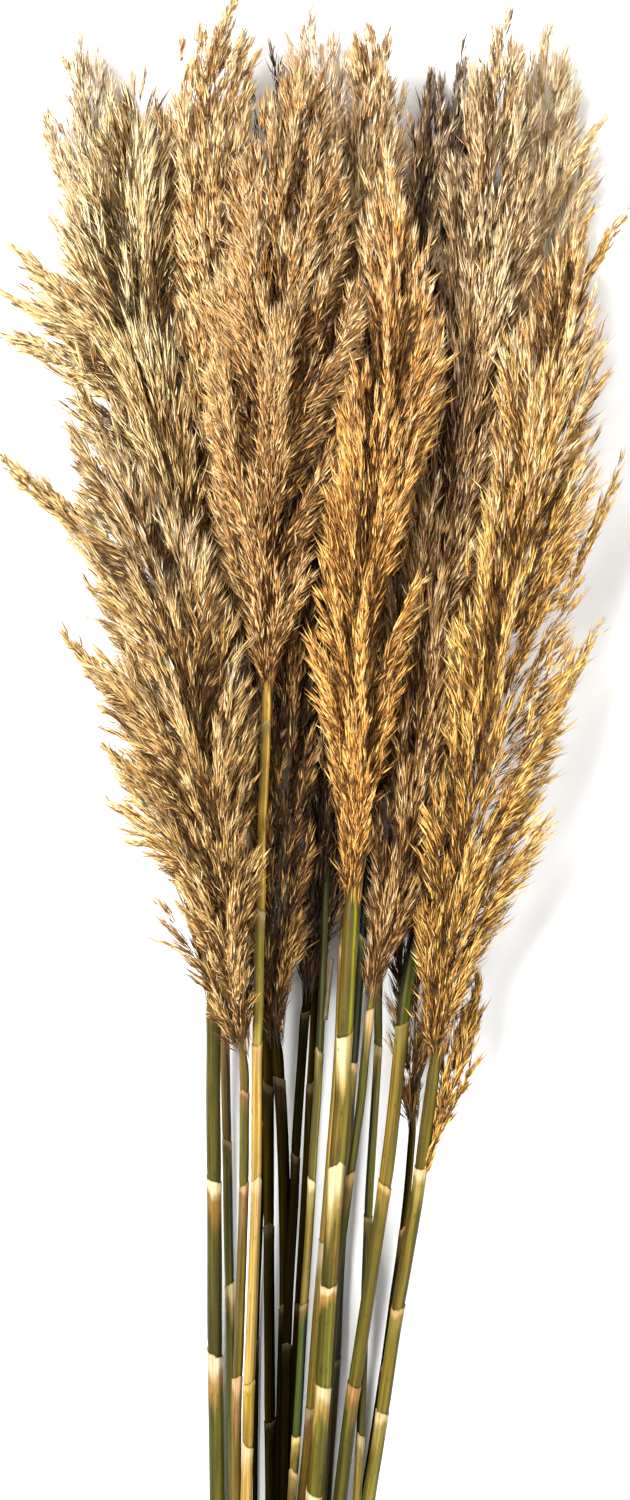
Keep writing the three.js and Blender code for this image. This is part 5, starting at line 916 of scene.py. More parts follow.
# green skins hold less blue than the straw ones
BLUE_CUT = 0.75
CREAM = (240, 224, 176)
PEACH = (238, 198, 140)
WARM = (176, 132, 60)
STALK_LOOKS = {
    "a": dict(segs=[((113, 101, 44), (104, 98, 35), (82, 74, 31)), ((102, 97, 38), (105, 94, 37), (70, 66, 25)), ((100, 99, 41), (123, 116, 49), (105, 98, 51))],
              bands=[((240, 224, 176), 7, (164, 124, 58), 20), ((246, 230, 184), 11, (190, 148, 84), 18)]),
    "b": dict(segs=[((150, 122, 78), (130, 106, 62), (100, 80, 44)), ((112, 92, 50), (104, 84, 46), (80, 66, 34)), ((96, 94, 43), (79, 76, 26), (49, 50, 19)), ((88, 88, 40), (74, 74, 28), (50, 50, 22))],
              bands=[((176, 136, 92), 8, (150, 112, 66), 24), ((170, 150, 100), 4, (120, 104, 56), 14), ((226, 206, 150), 9, (168, 142, 84), 14)]),
    "c": dict(segs=[((150, 112, 72), (120, 100, 52), (90, 80, 40)), ((130, 118, 60), (112, 104, 48), (96, 84, 44)), ((139, 113, 71), (124, 107, 50), (125, 105, 57)), ((150, 118, 76), (136, 112, 62), (104, 90, 48))],
              bands=[((184, 140, 100), 3, (140, 112, 66), 12), ((206, 160, 116), 4, (160, 120, 80), 26), ((232, 192, 142), 8, (184, 138, 96), 24)]),
    "d": dict(segs=[((170, 135, 75), (180, 145, 85), (190, 155, 95)), ((136, 112, 57), (162, 133, 64), (188, 155, 90)), ((129, 114, 63), (146, 131, 70), (146, 130, 72)), ((230, 189, 128), (210, 166, 100), (222, 183, 126)), ((225, 184, 128), (239, 200, 134), (175, 145, 98)), ((170, 139, 55), (182, 142, 63), (197, 162, 99)), ((228, 184, 120), (232, 190, 128), (210, 170, 108))],
              bands=[((216, 186, 124), 2, (190, 160, 96), 10), ((240, 214, 160), 5, (210, 180, 110), 14), ((214, 172, 116), 3, (216, 176, 112), 24), ((244, 206, 150), 6, (232, 190, 124), 26), ((226, 186, 96), 3, (204, 168, 62), 16), ((246, 210, 158), 6, (238, 198, 138), 10)]),
    # painted shade: stalk e lies far inside the bundle and its near-black skin stands for the shade there
    "e": dict(segs=[((40, 34, 14), (34, 28, 10), (24, 20, 8)), ((40, 34, 14), (34, 28, 10), (24, 20, 8)), ((40, 34, 14), (34, 28, 10), (24, 20, 8))],
              bands=[((96, 80, 44), 3, (55, 47, 24), 10), ((88, 76, 44), 3, (54, 47, 24), 10)]),
    # painted shade: stalk f lies far inside the bundle and its near-black skin stands for the shade there
    "f": dict(segs=[((58, 48, 22), (46, 38, 14), (30, 24, 8)), ((60, 52, 22), (48, 40, 15), (30, 24, 8)), ((50, 43, 15), (35, 28, 9), (21, 16, 4)), ((50, 43, 15), (35, 28, 9), (21, 16, 4))],
              bands=[((83, 73, 49), 4, (52, 44, 27), 16), ((89, 78, 56), 5, (53, 44, 27), 20), ((76, 67, 43), 3, (45, 38, 22), 14)]),
    # painted shade: stalk g lies far inside the bundle and its near-black skin stands for the shade there
    "g": dict(segs=[((66, 52, 28), (50, 40, 18), (34, 26, 10)), ((44, 36, 14), (30, 24, 8), (20, 16, 5)), ((17, 14, 3), (15, 13, 2), (17, 14, 4))],
              bands=[((88, 75, 56), 5, (52, 42, 27), 20), ((73, 62, 38), 5, (40, 34, 19), 16)]),
    # painted shade: stalk h lies far inside the bundle and its near-black skin stands for the shade there
    "h": dict(segs=[((25, 21, 6), (26, 19, 3), (26, 21, 4)), ((25, 21, 6), (26, 19, 3), (26, 21, 4)), ((25, 21, 6), (26, 19, 3), (26, 21, 4)), ((25, 21, 6), (26, 19, 3), (26, 21, 4))],
              bands=[((59, 52, 33), 3, (34, 31, 17), 10), ((56, 48, 30), 3, (32, 28, 14), 10), ((57, 49, 32), 3, (33, 29, 16), 10)]),
    # painted shade: stalk i lies far inside the bundle and its dark brown skin stands for the shade there
    "i": dict(segs=[((80, 60, 30), (64, 46, 22), (44, 32, 14)), ((70, 54, 28), (80, 60, 32), (60, 44, 22)), ((70, 54, 28), (80, 60, 32), (60, 44, 22))],
              bands=[((128, 104, 70), 5, (76, 59, 34), 20), ((140, 118, 80), 5, (80, 63, 37), 20)]),
    "j": dict(segs=[((110, 96, 50), (120, 112, 50), (90, 86, 36)), ((54, 50, 11), (81, 81, 26), (67, 68, 24)), ((110, 97, 44), (122, 110, 51), (138, 126, 76)), ((145, 126, 67), (168, 145, 83), (119, 104, 49)), ((92, 104, 14), (85, 111, 28), (38, 53, 5)), ((150, 124, 64), (140, 118, 58), (110, 92, 44)), ((140, 110, 66), (128, 104, 60), (100, 80, 44))],
              bands=[((160, 120, 70), 2, (120, 110, 50), 8), ((150, 138, 80), 3, (128, 116, 58), 14), ((232, 212, 160), 5, (180, 160, 96), 14), ((150, 126, 70), 3, (120, 104, 50), 10), ((214, 196, 120), 5, (176, 150, 80), 10), ((196, 160, 104), 4, (150, 124, 74), 10)]),
    "l": dict(segs=[((127, 105, 52), (126, 117, 44), (155, 148, 57)), ((131, 107, 46), (152, 130, 57), (152, 140, 58)), ((129, 115, 46), (127, 116, 54), (147, 121, 54)), ((105, 98, 36), (134, 129, 52), (138, 136, 62)), ((110, 100, 40), (128, 122, 50), (120, 112, 54)), ((110, 100, 40), (128, 122, 50), (120, 112, 54))],
              bands=[((248, 232, 180), 19, (206, 176, 106), 12, 128, 52), ((246, 230, 178), 17, (196, 166, 98), 20, 110, 60), ((250, 226, 168), 5, (216, 166, 92), 9), ((246, 226, 170), 10, (206, 172, 96), 18, 70, 60), ((244, 224, 170), 6, (190, 160, 90), 12)],
              spots=[(14.1, 210.0, 4.2, 1.8, (104, 74, 44)), (11.1, 142.8, 6.0, 1.6, (128, 96, 70)), (3.6, 74.4, 3.2, 2.4, (96, 84, 48))]),
    # painted shade: stalk m's near-black upper internodes stand for the shade far inside the bundle
    "m": dict(segs=[((19, 16, 5), (40, 43, 9), (32, 30, 10)), ((50, 48, 18), (62, 66, 24), (46, 46, 18)), ((110, 92, 42), (120, 104, 46), (84, 76, 34)), ((44, 42, 16), (50, 48, 18), (34, 32, 12)), ((60, 56, 26), (70, 60, 30), (110, 84, 50))],
              bands=[((160, 140, 90), 3, (96, 96, 48), 8), ((214, 178, 128), 5, (150, 126, 66), 14), ((150, 126, 76), 3, (84, 78, 40), 12), ((110, 100, 56), 3, (64, 66, 32), 10)]),
    "n": dict(segs=[((150, 134, 70), (150, 134, 70), (120, 106, 52)), ((98, 93, 38), (117, 113, 65), (96, 90, 44)), ((110, 98, 46), (120, 106, 50), (90, 80, 36))],
              bands=[((226, 190, 134), 12, (170, 146, 84), 14), ((216, 182, 120), 5, (160, 132, 76), 14)]),
    "o": dict(segs=[((120, 116, 60), (130, 124, 64), (110, 104, 54)), ((54, 53, 18), (94, 90, 41), (119, 116, 60)), ((60, 56, 22), (96, 90, 42), (86, 80, 38)), ((150, 128, 76), (160, 140, 84), (120, 104, 58))],
              bands=[((226, 206, 156), 8, (176, 144, 76), 14), ((150, 126, 76), 3, (116, 102, 52), 12), ((216, 190, 136), 7, (170, 144, 88), 18)]),
    "p": dict(segs=[((67, 58, 11), (98, 98, 18), (89, 94, 11)), ((167, 135, 49), (158, 134, 48), (126, 110, 56)), ((110, 100, 20), (135, 120, 26), (120, 102, 28)), ((83, 75, 13), (116, 109, 28), (89, 83, 22))],
              bands=[((150, 140, 66), 2, (160, 140, 66), 20), ((216, 180, 110), 4, (164, 132, 50), 18), ((176, 132, 74), 8, (146, 116, 46), 16)]),
    "r": dict(segs=[((112, 94, 49), (126, 109, 48), (124, 116, 52)), ((122, 101, 40), (161, 139, 66), (118, 110, 52)), ((157, 137, 66), (151, 129, 51), (133, 123, 64)), ((122, 114, 48), (157, 141, 66), (145, 137, 88))],
              bands=[((240, 208, 156), 6, (180, 156, 84), 16), ((206, 172, 110), 4, (160, 140, 70), 14), ((232, 204, 150), 6, (172, 152, 86), 16)]),
    # painted shade: stalk s lies far inside the bundle and its near-black skin stands for the shade there
    "s": dict(segs=[((40, 32, 12), (60, 48, 22), (80, 66, 34)), ((43, 38, 6), (58, 50, 16), (80, 68, 30)), ((43, 38, 10), (58, 50, 20), (80, 68, 34))],
              bands=[((140, 110, 74), 3, (84, 66, 38), 14), ((130, 106, 70), 3, (80, 64, 38), 12)]),
    "t": dict(segs=[((150, 122, 70), (140, 118, 62), (120, 100, 52)), ((130, 108, 58), (136, 114, 60), (110, 92, 46)), ((110, 92, 46), (120, 100, 48), (104, 88, 44)), ((117, 96, 52), (125, 98, 48), (115, 84, 37))],
              bands=[((232, 192, 146), 6, (206, 166, 116), 20), ((240, 224, 176), 12, (206, 172, 104), 22), ((232, 204, 150), 7, (176, 140, 88), 20)]),
}

# thickness at the plume end and at the cut end, against the mean
STALK_GIRTH = {"a": (1.06, 1.12), "b": (1.0, 1.08), "c": (0.95, 1.05), "d": (0.86, 1.10), "j": (0.9, 1.08),
               "l": (0.96, 1.0), "p": (1.02, 1.08), "r": (1.02, 1.08), "n": (0.95, 1.04), "o": (0.95, 1.04)}


def srgb_arr(c):
    c = np.asarray(c, float) / 255.0
    return np.where(c <= 0.04045, c / 12.92, ((c + 0.055) / 1.055) ** 2.4)


def smooth01(x):
    x = np.clip(x, 0, 1)
    return x * x * (3 - 2 * x)


# gains on some internodes' colours: (-X flank, crown, +X flank), from the top down; the large lifts of d and t are
# painted light on internodes in the plumes' shade, m's lowering is painted shade
SEG_LIFT = {
    "a": [(0.78, 1.0, 1.3), (0.78, 1.05, 1.12), (0.75, 1.08, 1.45)],
    "b": [(2.0, 2.3, 1.0), (2.0, 2.3, 1.0), (2.1, 2.4, 0.9)],
    "c": [(1.0, 1.0, 1.5)],
    "d": [(2.2, 2.4, 2.6), (3.0, 2.7, 2.9), (2.6, 2.5, 2.2), (1.05, 1.08, 1.6), (1.0, 1.2, 1.35), (1.0, 1.15, 1.5)],
    "f": [(1.3, 1.3, 1.4)],
    "j": [(1.0, 1.0, 1.4), (0.98, 1.03, 1.6), (0.86, 0.88, 1.6), (0.9, 1.0, 1.3), (0.78, 0.80, 0.6)],
    "l": [(0.85, 0.97, 1.7), (0.75, 0.84, 1.4), (0.5, 0.88, 1.22), (0.95, 1.2, 1.45)],
    "m": [(0.4, 0.45, 0.3), (0.8, 0.9, 0.7)],
    "n": [(1.1, 1.2, 1.2)],
    "o": [(1.0, 1.3, 1.7)],
    "p": [(0.68, 1.02, 1.55), (0.82, 0.88, 1.22), (0.8, 0.94, 1.05), (0.65, 0.92, 0.95)],
    "r": [(0.88, 0.93, 1.05), (0.85, 0.8, 0.72), (1.1, 0.78, 0.95), (0.72, 0.93, 1.0)],
    "s": [(0.4, 0.7, 1.7)],
    "t": [(3.0, 3.4, 3.0)],
}


def stalk_mesh(key, rng):
    spec = STALKS[key]
    look = STALK_LOOKS[key]
    r = spec["r"]
    ax = np.asarray(spec["axis"], float)[::-1]            # cut end first, rising in Y
    # the stalk runs on into its plume, where the fibres close over it
    env = Envelope(PLUMES[key])
    for dist in (10.0, 22.0, 36.0):
        c = env.at(env.t, np.array([dist / env.L]))[0, :3]
        ax = np.vstack([ax, c])
    y0, y1 = ax[0, 1], ax[-1, 1]
    y_foot = y1 - 36.0
    nodes = sorted(spec["nodes"])
    sides = 28 if not QUICK else 16
    ys = list(np.arange(y0, y1, 4.0)) + [y1]
    for yn in nodes:
        ys += list(yn + np.array([9, 6, 4, 2.6, 1.6, 0.9, 0.45, 0.2, 0.0, -0.35, -0.8, -1.4, -2.2, -3.2, -4.4, -6, -8]))
    ys = sorted(set(round(float(v), 2) for v in ys if y0 <= v <= y1))
    keep = [ys[0]]
    for v in ys[1:]:
        if v - keep[-1] >= 0.18:
            keep.append(v)
    ys = np.array(keep)
    n = len(ys)
    # a smooth centre line through the stations
    order = np.argsort(ax[:, 1])
    ax = ax[order]

    def hermite(col, yq):
        x, v = ax[:, 1], ax[:, col]
        m = np.gradient(v, x)
        k = np.clip(np.searchsorted(x, yq, side="right") - 1, 0, len(x) - 2)
        h = x[k + 1] - x[k]
        u = (yq - x[k]) / h
        return ((2 * u ** 3 - 3 * u ** 2 + 1) * v[k] + (u ** 3 - 2 * u ** 2 + u) * h * m[k]
                + (-2 * u ** 3 + 3 * u ** 2) * v[k + 1] + (u ** 3 - u ** 2) * h * m[k + 1])

    cx, cz = hermite(0, ys), hermite(2, ys)
    phi = (np.arange(sides) + 0.5) / sides * 2 * math.pi

    # per-node slant of the lip
    warp = np.zeros((n, sides))
    below = np.full((n, sides), 1e3)                      # distance under the nearest lip above
    which = np.full((n, sides), -1)
    over = np.full((n, sides), 1e3)
    for j, yn in enumerate(nodes):
        p0 = rng.uniform(0, 2 * math.pi)
        amp = r * rng.uniform(0.25, 0.62)
        rag = sum(rng.normal(0, 0.20) * np.sin(k * phi + rng.uniform(0, 6.3)) for k in (3, 5, 7, 9, 11))
        tongue = rng.uniform(0.6, 2.6) * np.exp(-((np.angle(np.exp(1j * (phi - p0)))) / 0.5) ** 2)
        d = amp * np.cos(phi - p0) + rag * 0.8 + tongue
        fall = np.exp(-((ys - yn) / 7.0) ** 2)[:, None]
        warp += d[None] * fall
    yy = ys[:, None] + warp
    rad = np.ones((n, sides))
    for j, yn in enumerate(nodes):
        dist = (yn - ys)[:, None] * np.ones((1, sides))   # positive under the lip
        under = (dist >= -0.01)
        closer = under & (dist < below)
        below = np.where(closer, dist, below)
        which = np.where(closer, j, which)
        up = (dist < -0.01) & (-dist < over)
        over = np.where(up, -dist, over)
    # sheath: proud at the lip, tapering down; bare neck over it
    rad = np.where(below < 60, 1.0 + 0.095 * np.exp(-below / 7.0), 1.0)
    rad = np.where(over < 9, rad * (0.945 + 0.055 * smooth01(over / 9.0)), rad)
    # thin rounded edge of the lip itself
    rad = np.where(below < 0.3, rad - 0.012, rad)
    # lengthwise ribs and slow unevenness
    ph = rng.uniform(0, 6.3, 6)
    ribs = 0.010 * np.sin(9 * phi + ph[0]) + 0.008 * np.sin(14 * phi + ph[1])
    slow = 0.012 * np.sin(ys / 37.0 + ph[2]) + 0.008 * np.sin(ys / 13.0 + ph[3])
    rad = rad * (1 + ribs[None] + slow[:, None])
    # one sheath edge runs down each internode as a small step
    edge_phi = rng.uniform(0.2, 2.6)
    stepv = np.exp(-((np.angle(np.exp(1j * (phi - edge_phi)))) / 0.35) ** 2)
    rad = rad * (1 + 0.022 * stepv[None])
    ga, gb = STALK_GIRTH.get(key, (1.0, 1.0))
    girth = np.interp(ys, [y0 + 90, y_foot], [gb, ga])
    into = np.clip((ys - (y_foot - 4.0)) / 38.0, 0, 1)
    girth = girth * (1 - 0.72 * into ** 0.8)
    R = r * rad * girth[:, None]

    tx = np.gradient(cx, ys)
    tz = np.gradient(cz, ys)
    tan = unit(np.stack([tx, np.ones(n), tz], 1))
    side = unit(np.stack([tan[:, 1], -tan[:, 0], np.zeros(n)], 1))
    up = np.cross(side, tan)
    up = np.where(up[:, 2:3] < 0, -up, up)
    P = np.empty((n, sides, 3))
    for i in range(sides):
        yw = yy[:, i]
        P[:, i, 0] = hermite(0, np.clip(yw, y0, y1))
        P[:, i, 1] = yw
        P[:, i, 2] = hermite(2, np.clip(yw, y0, y1))
    P += side[:, None] * (R * np.cos(phi)[None])[..., None] + up[:, None] * (R * np.sin(phi)[None])[..., None]

    # ---- colour -----------------------------------------------------------
    seg_index = np.zeros(n, int)
    nd = np.array(nodes)
    seg_index = np.array([int((nd > v - 0.01).sum()) for v in ys])
    # nodes above this height -> internode number counted from the top
    segs = look["segs"]
    segn = np.array([min(int((nd >= v).sum()), len(segs) - 1) for v in ys])
    top_down = segn                                            # 0 = above the first node
    cut = 1.0 if key in "cdt" else BLUE_CUT
    lift = SEG_LIFT.get(key, [(1.0, 1.0, 1.0)])
    lift = np.array([lift[min(k, len(lift) - 1)] for k in top_down], float)
    # the three colours of each internode hold its own colour with painted light and painted shade across the stalk
    left = srgb_arr([segs[k][0] for k in top_down]) * lift[:, 0:1]
    crown = srgb_arr([segs[k][1] for k in top_down]) * lift[:, 1:2]
    right = srgb_arr([segs[k][2] for k in top_down]) * lift[:, 2:3]
    wander = 0.10 * np.sin(ys / 31.0 + ph[4]) + 0.06 * np.sin(ys / 9.0 + ph[5])
    cphi = np.cos(phi)[None] + wander[:, None]
    wl_ = smooth01((-cphi - 0.18) / 0.22)[..., None]
    wr_ = smooth01((cphi - 0.22) / 0.22)[..., None]
    col = crown[:, None] * (1 - wl_ - wr_) + left[:, None] * wl_ + right[:, None] * wr_
    # lengthwise streaks: lighter and darker veins of skin
    vein = np.zeros((n, sides))
    for k_, a_ in ((3, 0.10), (7, 0.12), (13, 0.12)):
        p1, p2 = rng.uniform(0, 6.3, 2)
        vein += a_ * np.sin(k_ * phi[None] + p1 + 0.9 * np.sin(ys[:, None] / 47.0 + p2))
    vein += rng.normal(0, 0.09, (1, sides))
    col = col * np.exp(vein)[..., None]
    # painted shade: the skin darkens towards both flanks, more on the -X flank
    flank = smooth01((np.abs(np.cos(phi) + 0.12) - 0.62) / 0.4) * np.where(np.cos(phi) < 0, 0.40, 0.22)
    col = col * (1 - flank[None, :, None])
    # slow mottling along the stalk
    mott = 1 + 0.09 * np.sin(ys / 21.0 + ph[4]) * np.sin(ys / 8.3 + ph[5])
    col = col * mott[:, None, None]
    col = col * (1 + 0.05 * rng.normal(size=(1, sides, 1)))
    # shading towards the underside of each sheath: old skin is browner
    bands = look["bands"]
    nb_ = len(bands)
    for j, yn in enumerate(nodes):
        topi = len(nodes) - 1 - j                             # nodes are sorted from the cut end
        band = bands[min(topi, nb_ - 1)]
        pale, pl, warm, wl = band[:4]
        bc = math.radians(band[4]) if len(band) > 4 else 1.6
        bw = math.radians(band[5]) if len(band) > 5 else 4.0
        onside = smooth01((bw - np.abs(np.angle(np.exp(1j * (phi - bc))))) / 0.5 + 0.5)
        dist = yn - ys
        inside = (which[:, 0] == j)
        irr = 1 + 0.30 * np.sin(2 * phi + ph[0] + j) + 0.12 * np.sin(5 * phi + ph[1] * (j + 1))
        dd = dist[:, None] / irr[None]
        wp = np.where(inside[:, None], 1 - smooth01((dd - pl * 0.55) / (pl * 0.9)), 0.0) * (0.15 + 0.85 * onside[None])
        ww = np.where(inside[:, None], 1 - smooth01((dd - pl - wl * 0.35) / (wl * 0.8)), 0.0)
        wc = srgb_arr(warm) * np.array([1.10, 1.12, 1.6 / cut])
        pc = srgb_arr(pale) * np.array([1.38, 1.38, 2.5 / cut])
        col = col * (1 - ww[..., None]) + wc * ww[..., None]
        col = col * (1 - wp[..., None]) + pc * wp[..., None]
        # torn brown edge and the dark line of shade over it
        lipw = np.where(inside, np.exp(-(dist / 0.5) ** 2), 0.0)
        col = col * (1 - 0.45 * lipw[:, None, None]) + srgb_arr((150, 112, 66)) * 0.45 * lipw[:, None, None]
        ab = (ys - yn)
        dark = np.where((ab > 0.01) & (ab < 3.0), np.exp(-((ab - 0.3) / 0.7) ** 2), 0.0)
        side_k = 0.30 + 0.35 * (0.5 + 0.5 * np.cos(phi - rng.uniform(0, 6.3)))
        col = col * (1 - dark[:, None, None] * side_k[None, :, None])
    for (sx, sy, ly, lx, sc_) in look.get("spots", []):
        # weathered blotches
        X, Y = P[..., 0], P[..., 1]
        up_side = P[..., 2] > np.median(P[..., 2], axis=1)[:, None] - 0.3 * r
        cxs = np.interp(sy, ys, cx)
        g = np.exp(-(((X - sx) / lx) ** 2 + ((Y - sy) / ly) ** 2)) * up_side
        col = col * (1 - 0.8 * g[..., None]) + srgb_arr(sc_) * 0.8 * g[..., None]
    col = np.clip(col * STALK_TONE * np.array([1.0, 1.0, cut]), 0.0006, 0.95)

    # ---- faces and the two ends ---------------------------------------------
    verts = [P.reshape(-1, 3)]
    cols = [np.concatenate([col.reshape(-1, 3), np.ones((n * sides, 1))], 1)]
    quads, uvq = [], []
    I = np.arange(n - 1)[:, None] * sides
    Jc = np.arange(sides)[None]
    Jn = (np.arange(sides)[None] + 1) % sides
    q = np.stack([I + Jc, I + Jn, I + sides + Jn, I + sides + Jc], -1).reshape(-1, 4)
    vv = 0.04 + 0.94 * (ys - ys[0]) / (ys[-1] - ys[0])
    u0 = np.arange(sides) / sides * 0.9 + 0.02
    u1 = (np.arange(sides) + 1) / sides * 0.9 + 0.02
    uvs = np.empty((n - 1, sides, 4, 2))
    uvs[..., 0, 0] = u0
    uvs[..., 1, 0] = u1
    uvs[..., 2, 0] = u1
    uvs[..., 3, 0] = u0
    uvs[..., 0, 1] = vv[:-1, None]
    uvs[..., 1, 1] = vv[:-1, None]
    uvs[..., 2, 1] = vv[1:, None]
    uvs[..., 3, 1] = vv[1:, None]
    quads.append(q)
    uvq.append(uvs.reshape(-1, 4, 2))
    base = n * sides
    # cut end: a pale ring of cut wall round a short hollow, its inside painted darker with depth as painted shade
    c0 = np.array([cx[0], ys[0], cz[0]])
    ring_specs = [(0.62, 0.0, (214, 190, 140)), (0.56, 1.2, (150, 120, 78)), (0.50, 7.0, (70, 50, 30)), (0.12, 7.6, (56, 40, 24))]
    prev = np.arange(sides)
    for ri, (k, depth, cc) in enumerate(ring_specs):
        inner = P[0] * k + c0 * (1 - k) + tan[0] * depth
        verts.append(inner)
        cols.append(np.concatenate([np.tile(srgb_arr(cc), (sides, 1)), np.ones((sides, 1))], 1))
        cur = base + np.arange(sides)
        q = np.stack([cur, np.roll(cur, -1), np.roll(prev, -1), prev], -1)
        quads.append(q)
        uu = np.empty((sides, 4, 2))
        uu[:, 0, 0] = u0
        uu[:, 1, 0] = u1
        uu[:, 2, 0] = u1
        uu[:, 3, 0] = u0
        uu[:, 0:2, 1] = 0.035 - 0.008 * (ri + 1)
        uu[:, 2:4, 1] = 0.035 - 0.008 * ri
        uvq.append(uu)
        prev = cur
        base += sides
    last_ring_bottom = prev
    # plume end: closes to a point inside the fibres
    top = np.arange(sides) + (n - 1) * sides
    tipc = np.array([cx[-1], ys[-1], cz[-1]]) + tan[-1] * 7.0
    ringt = P[-1] * 0.4 + np.array([cx[-1], ys[-1], cz[-1]]) * 0.6 + tan[-1] * 5.0
    verts.append(ringt)
    cols.append(np.concatenate([col[-1], np.ones((sides, 1))], 1))
    cur = base + np.arange(sides)
    quads.append(np.stack([top, np.roll(top, -1), np.roll(cur, -1), cur], -1))
    uu = np.empty((sides, 4, 2))
    uu[:, 0, 0] = u0
    uu[:, 1, 0] = u1
    uu[:, 2, 0] = u1
    uu[:, 3, 0] = u0
    uu[:, 0:2, 1] = 0.98
    uu[:, 2:4, 1] = 0.995
    uvq.append(uu)
    base += sides
    V = np.concatenate(verts)
    C = np.concatenate(cols)
    Q = np.concatenate(quads)
    U = np.concatenate(uvq)
    # to triangles, so that one loop count serves every face
    T = np.concatenate([Q[:, [0, 1, 2]], Q[:, [0, 2, 3]]])
    UT = np.concatenate([U[:, [0, 1, 2]], U[:, [0, 2, 3]]])
    # fans that close both ends
    fans, fu = [], []
    # painted shade: the hollow's floor takes the darkest colour
    V = np.concatenate([V, [V[last_ring_bottom].mean(0)], [tipc]])
    C = np.concatenate([C, [[*srgb_arr((56, 40, 24)), 1]], [[*col[-1].mean(0), 1]]])
    for k in range(sides):
        fans.append([last_ring_bottom[k], base, last_ring_bottom[(k + 1) % sides]][::-1])
        fu.append([[u1[k], 0.003], [(u0[k] + u1[k]) / 2, 0.001], [u0[k], 0.003]])
        fans.append([cur[k], cur[(k + 1) % sides], base + 1])
        fu.append([[u0[k], 0.996], [u1[k], 0.996], [(u0[k] + u1[k]) / 2, 0.999]])
    T = np.concatenate([T, np.array(fans)])
    UT = np.concatenate([UT, np.array(fu)])
    ob = mesh_object("stalk_" + key + "_culm", V, T.reshape(-1), 3, uvs=UT.reshape(-1, 2), colors=C)
    return ob


def stalk_material(name, rough=0.42, spec=0.3):
    m, nt, bsdf, out = mat_new(name)
    at = nt.nodes.new("ShaderNodeAttribute")
    at.attribute_name = "tint"
    uv = nt.nodes.new("ShaderNodeUVMap")
    uv.uv_map = "OFBake"
    mp = nt.nodes.new("ShaderNodeMapping")
    mp.inputs["Scale"].default_value = (10.0, 4.0, 1.0)
    nt.links.new(uv.outputs["UV"], mp.inputs["Vector"])
    nz = nt.nodes.new("ShaderNodeTexNoise")
    nz.inputs["Scale"].default_value = 2.0
    nz.inputs["Detail"].default_value = 5.0
    nz.inputs["Roughness"].default_value = 0.6
    nt.links.new(mp.outputs["Vector"], nz.inputs["Vector"])
    mr = nt.nodes.new("ShaderNodeMapRange")
    mr.inputs["From Min"].default_value = 0.3
    mr.inputs["From Max"].default_value = 0.7
    mr.inputs["To Min"].default_value = 0.50
    mr.inputs["To Max"].default_value = 1.42
    nt.links.new(nz.outputs["Fac"], mr.inputs["Value"])
    # small dark weather specks
    sp = nt.nodes.new("ShaderNodeTexNoise")
    sp.inputs["Scale"].default_value = 1.0
    sp.inputs["Detail"].default_value = 3.0
    mp2 = nt.nodes.new("ShaderNodeMapping")
    mp2.inputs["Scale"].default_value = (14.0, 70.0, 1.0)
    mp2.inputs["Location"].default_value = (3.7, 1.3, 0.0)
    nt.links.new(uv.outputs["UV"], mp2.inputs["Vector"])
    nt.links.new(mp2.outputs["Vector"], sp.inputs["Vector"])
    mr2 = nt.nodes.new("ShaderNodeMapRange")
    mr2.inputs["From Min"].default_value = 0.61
    mr2.inputs["From Max"].default_value = 0.70
    mr2.inputs["To Min"].default_value = 1.0
    mr2.inputs["To Max"].default_value = 0.50
    nt.links.new(sp.outputs["Fac"], mr2.inputs["Value"])
    mm_ = nt.nodes.new("ShaderNodeMath")
    mm_.operation = "MULTIPLY"
    nt.links.new(mr.outputs["Result"], mm_.inputs[0])
    nt.links.new(mr2.outputs["Result"], mm_.inputs[1])
    sc = nt.nodes.new("ShaderNodeVectorMath")
    sc.operation = "SCALE"
    nt.links.new(at.outputs["Color"], sc.inputs[0])
    nt.links.new(mm_.outputs["Value"], sc.inputs["Scale"])
    nt.links.new(sc.outputs["Vector"], bsdf.inputs["Base Color"])
    rr = nt.nodes.new("ShaderNodeMapRange")
    rr.inputs["From Min"].default_value = 0.3
    rr.inputs["From Max"].default_value = 0.7
    rr.inputs["To Min"].default_value = rough - 0.06
    rr.inputs["To Max"].default_value = rough + 0.14
    nt.links.new(nz.outputs["Fac"], rr.inputs["Value"])
    nt.links.new(rr.outputs["Result"], bsdf.inputs["Roughness"])
    # fine lengthwise ribs
    mp3 = nt.nodes.new("ShaderNodeMapping")
    mp3.inputs["Scale"].default_value = (60.0, 2.0, 1.0)
    nt.links.new(uv.outputs["UV"], mp3.inputs["Vector"])
    nb_ = nt.nodes.new("ShaderNodeTexNoise")
    nb_.inputs["Scale"].default_value = 1.0
    nb_.inputs["Detail"].default_value = 2.0
    nt.links.new(mp3.outputs["Vector"], nb_.inputs["Vector"])
    bp = nt.nodes.new("ShaderNodeBump")
    bp.inputs["Strength"].default_value = 0.35
    bp.inputs["Distance"].default_value = 0.0004
    nt.links.new(nb_.outputs["Fac"], bp.inputs["Height"])
    nt.links.new(bp.outputs["Normal"], bsdf.inputs["Normal"])
    bsdf.inputs["Specular IOR Level"].default_value = spec
    return m


STALK_MAT = stalk_material("stalk_sheath", 0.42, 0.20)
# matt sheath for the stalks far inside the bundle (e, f, g, h, i, s), whose near-black skin is painted shade
STALK_MAT_DARK = stalk_material("stalk_sheath_old", 0.80, 0.0)
for i, key in enumerate(sorted(STALKS)):
    rng = np.random.default_rng(500 + i)
    ob = stalk_mesh(key, rng)
    ob.data.materials.append(STALK_MAT_DARK if key in "efghis" else STALK_MAT)
    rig.ride(ob, "root")
    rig.replaces(ob, "stalk_" + key)

